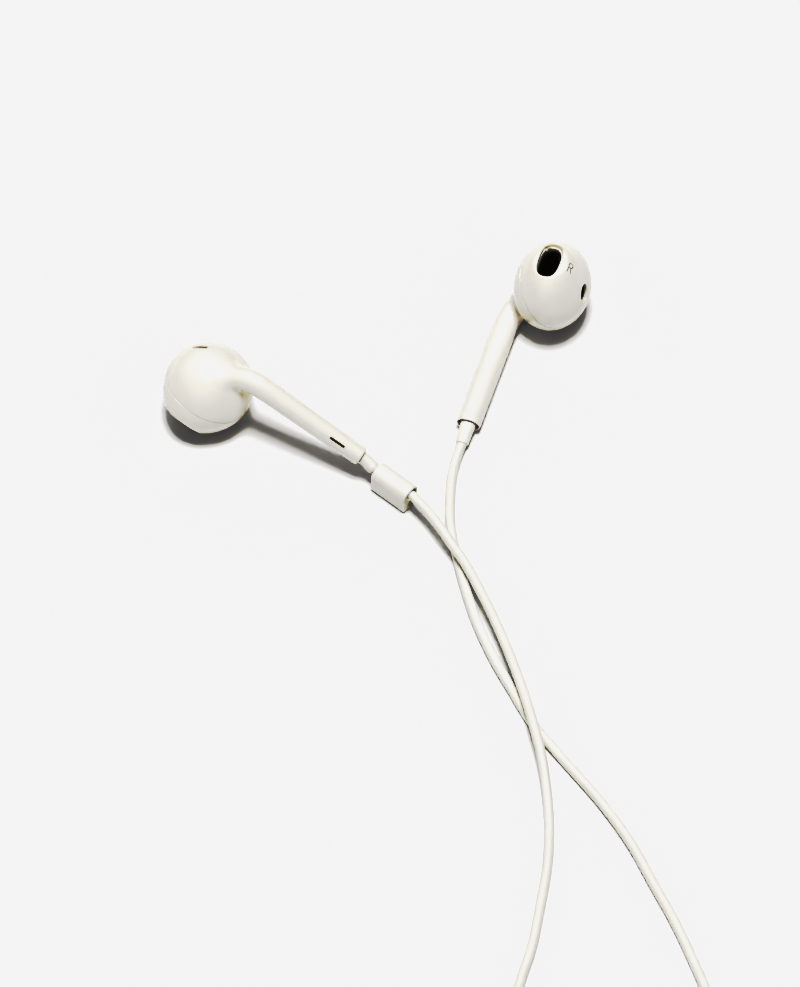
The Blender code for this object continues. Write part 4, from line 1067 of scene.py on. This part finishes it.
RH = 0.13
for name, upper in (("remote_back_shell", False), ("remote_front_shell", True)):
    v, f = nets(lambda P: remote_half(P, upper), (-hx - 0.4, -hy - 0.4, -0.3), (hx + 0.4, hy + 0.4, REMOTE_H + 0.3), RH)
    ob = mesh_object("look_" + name, placed(v, rem_ang, tuple(rem_mid)), f, SHELL, 60.0)
    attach(ob, "cable_harness"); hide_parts(name)
for name, x, length, bodyname in BUTTONS:
    face, wide = length / 2 - BUTTON_GAP * 0.5, BUTTON_W / 2 - BUTTON_GAP * 0.5
    sign = {"volume_up": 1, "center": 0, "volume_down": -1}[bodyname]

    def button_field(P):
        X, Y, Z = P[..., 0], P[..., 1], P[..., 2]
        top = 4.50 if sign else 4.50 - 0.10 * np.exp(-(X ** 2 + Y ** 2) / 2.2)
        d = smax(stadium2(X, Y, face, wide), Z - top, 0.5)
        flange = np.maximum(stadium2(X, Y, face + 0.26, wide + 0.26), Z - 3.10)
        d = np.minimum(smax(d, 2.86 - Z, 0.05), smax(flange, 2.86 - Z, 0.05))
        return d
    v, f = nets(button_field, (-length / 2 - 0.6, -BUTTON_W / 2 - 0.6, 2.5), (length / 2 + 0.6, BUTTON_W / 2 + 0.6, 5.0), 0.1)
    ob = mesh_object("look_" + name, placed(v + np.array((x, 0, 0)), rem_ang, tuple(rem_mid)), f, SHELL, 60.0)
    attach(ob, bodyname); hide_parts(name)

# ---------------------------------------------- inner pieces keep their solids
LOOK = {"side_port_mesh": MESHB, "rear_vent_mesh": BRONZE, "stem_vent_mesh": BRONZE,
        "lead_wire": WIRE, "driver_frame": DFRAME, "driver_yoke": STEEL,
        "driver_magnet": MAGNET, "driver_top_plate": STEEL, "voice_coil": COPPER,
        "diaphragm": FILM, "driver_gasket": FOAM, "terminal_board": BOARD,
        "remote_board": BOARD, "dome_switch": STEEL, "microphone": STEEL}
for node, o in frame["nodes"].items():
    for key, mat in LOOK.items():
        if node.startswith(key):
            o.data.materials.clear()
            o.data.materials.append(mat)

# -------------------------------------------------------------------- stage
def curve(settings, pts):
    settings.use_curve_mapping = True
    cm = settings.curve_mapping
    cm.extend = "HORIZONTAL"
    c = cm.curves[3]
    while len(c.points) > 2:
        c.points.remove(c.points[1])
    c.points[0].location, c.points[1].location = pts[0], pts[-1]
    for p in pts[1:-1]:
        c.points.new(*p)
    cm.update()


me = bpy.data.meshes.new("floor")
F = 20.0
me.from_pydata([(-F, -F, -2e-5), (F, -F, -2e-5), (F, F, -2e-5), (-F, F, -2e-5)], [], [(0, 1, 2, 3)])
floor = bpy.data.objects.new("floor", me)
SCENE.collection.objects.link(floor)
fm, nt, b = nodes_of("pale_floor")
n = noise(nt, 300.0, 3.0)
r = ramp(nt, n.outputs["Fac"], ((0.3, (0.90, 0.90, 0.90)), (0.7, (0.92, 0.92, 0.92))))
nt.links.new(r.outputs["Color"], b.inputs["Base Color"])
b.inputs["Roughness"].default_value = 0.9
b.inputs["Specular IOR Level"].default_value = 0.1
me.materials.append(fm)

world = bpy.data.worlds.new("studio")
SCENE.world = world
world.use_nodes = True
wn = world.node_tree
bg = wn.nodes["Background"]
lp_ = wn.nodes.new("ShaderNodeLightPath")
mixw = wn.nodes.new("ShaderNodeMapRange")
mixw.inputs["To Min"].default_value = 0.07
mixw.inputs["To Max"].default_value = 1.05
wn.links.new(lp_.outputs["Is Camera Ray"], mixw.inputs["Value"])
wn.links.new(mixw.outputs["Result"], bg.inputs["Strength"])
bg.inputs["Color"].default_value = (1, 1, 1, 1)

def sun(name, energy, angle, tilt):
    light = bpy.data.lights.new(name, "SUN")
    light.energy = energy
    light.angle = math.radians(angle)
    o = bpy.data.objects.new(name, light)
    SCENE.collection.objects.link(o)
    o.rotation_euler = (math.radians(tilt[0]), math.radians(tilt[1]), 0)


sun("key", 2.10, 18.0, (-1.5, 2.0))
sun("broad", 0.85, 80.0, (-15.0, -8.0))
sun("front", 0.40, 60.0, (52.0, -18.0))

SCENE.view_settings.view_transform = "Standard"
SCENE.view_settings.look = "None"
curve(SCENE.view_settings, ((0, 0), (0.20, 0.03), (0.38, 0.11), (0.43, 0.25), (0.49, 0.46), (0.58, 0.59), (0.70, 0.73), (0.79, 0.865), (0.85, 0.896), (1.0, 0.896)))

cam = bpy.data.cameras.new("camera")
cam.lens = 1000.0
cam.sensor_width = 36.0
co = bpy.data.objects.new("camera", cam)
SCENE.collection.objects.link(co)
el = math.radians(58.0)
target = Vector((0.032, 0.2076, 0.0))
dist = (0.17945 / 2) / (18.0 / cam.lens)
co.location = target + Vector((0, -math.cos(el), math.sin(el))) * dist
co.rotation_euler = (math.radians(90.0) - el, 0, 0)
cam.clip_start, cam.clip_end = 0.05, 150.0
SCENE.camera = co
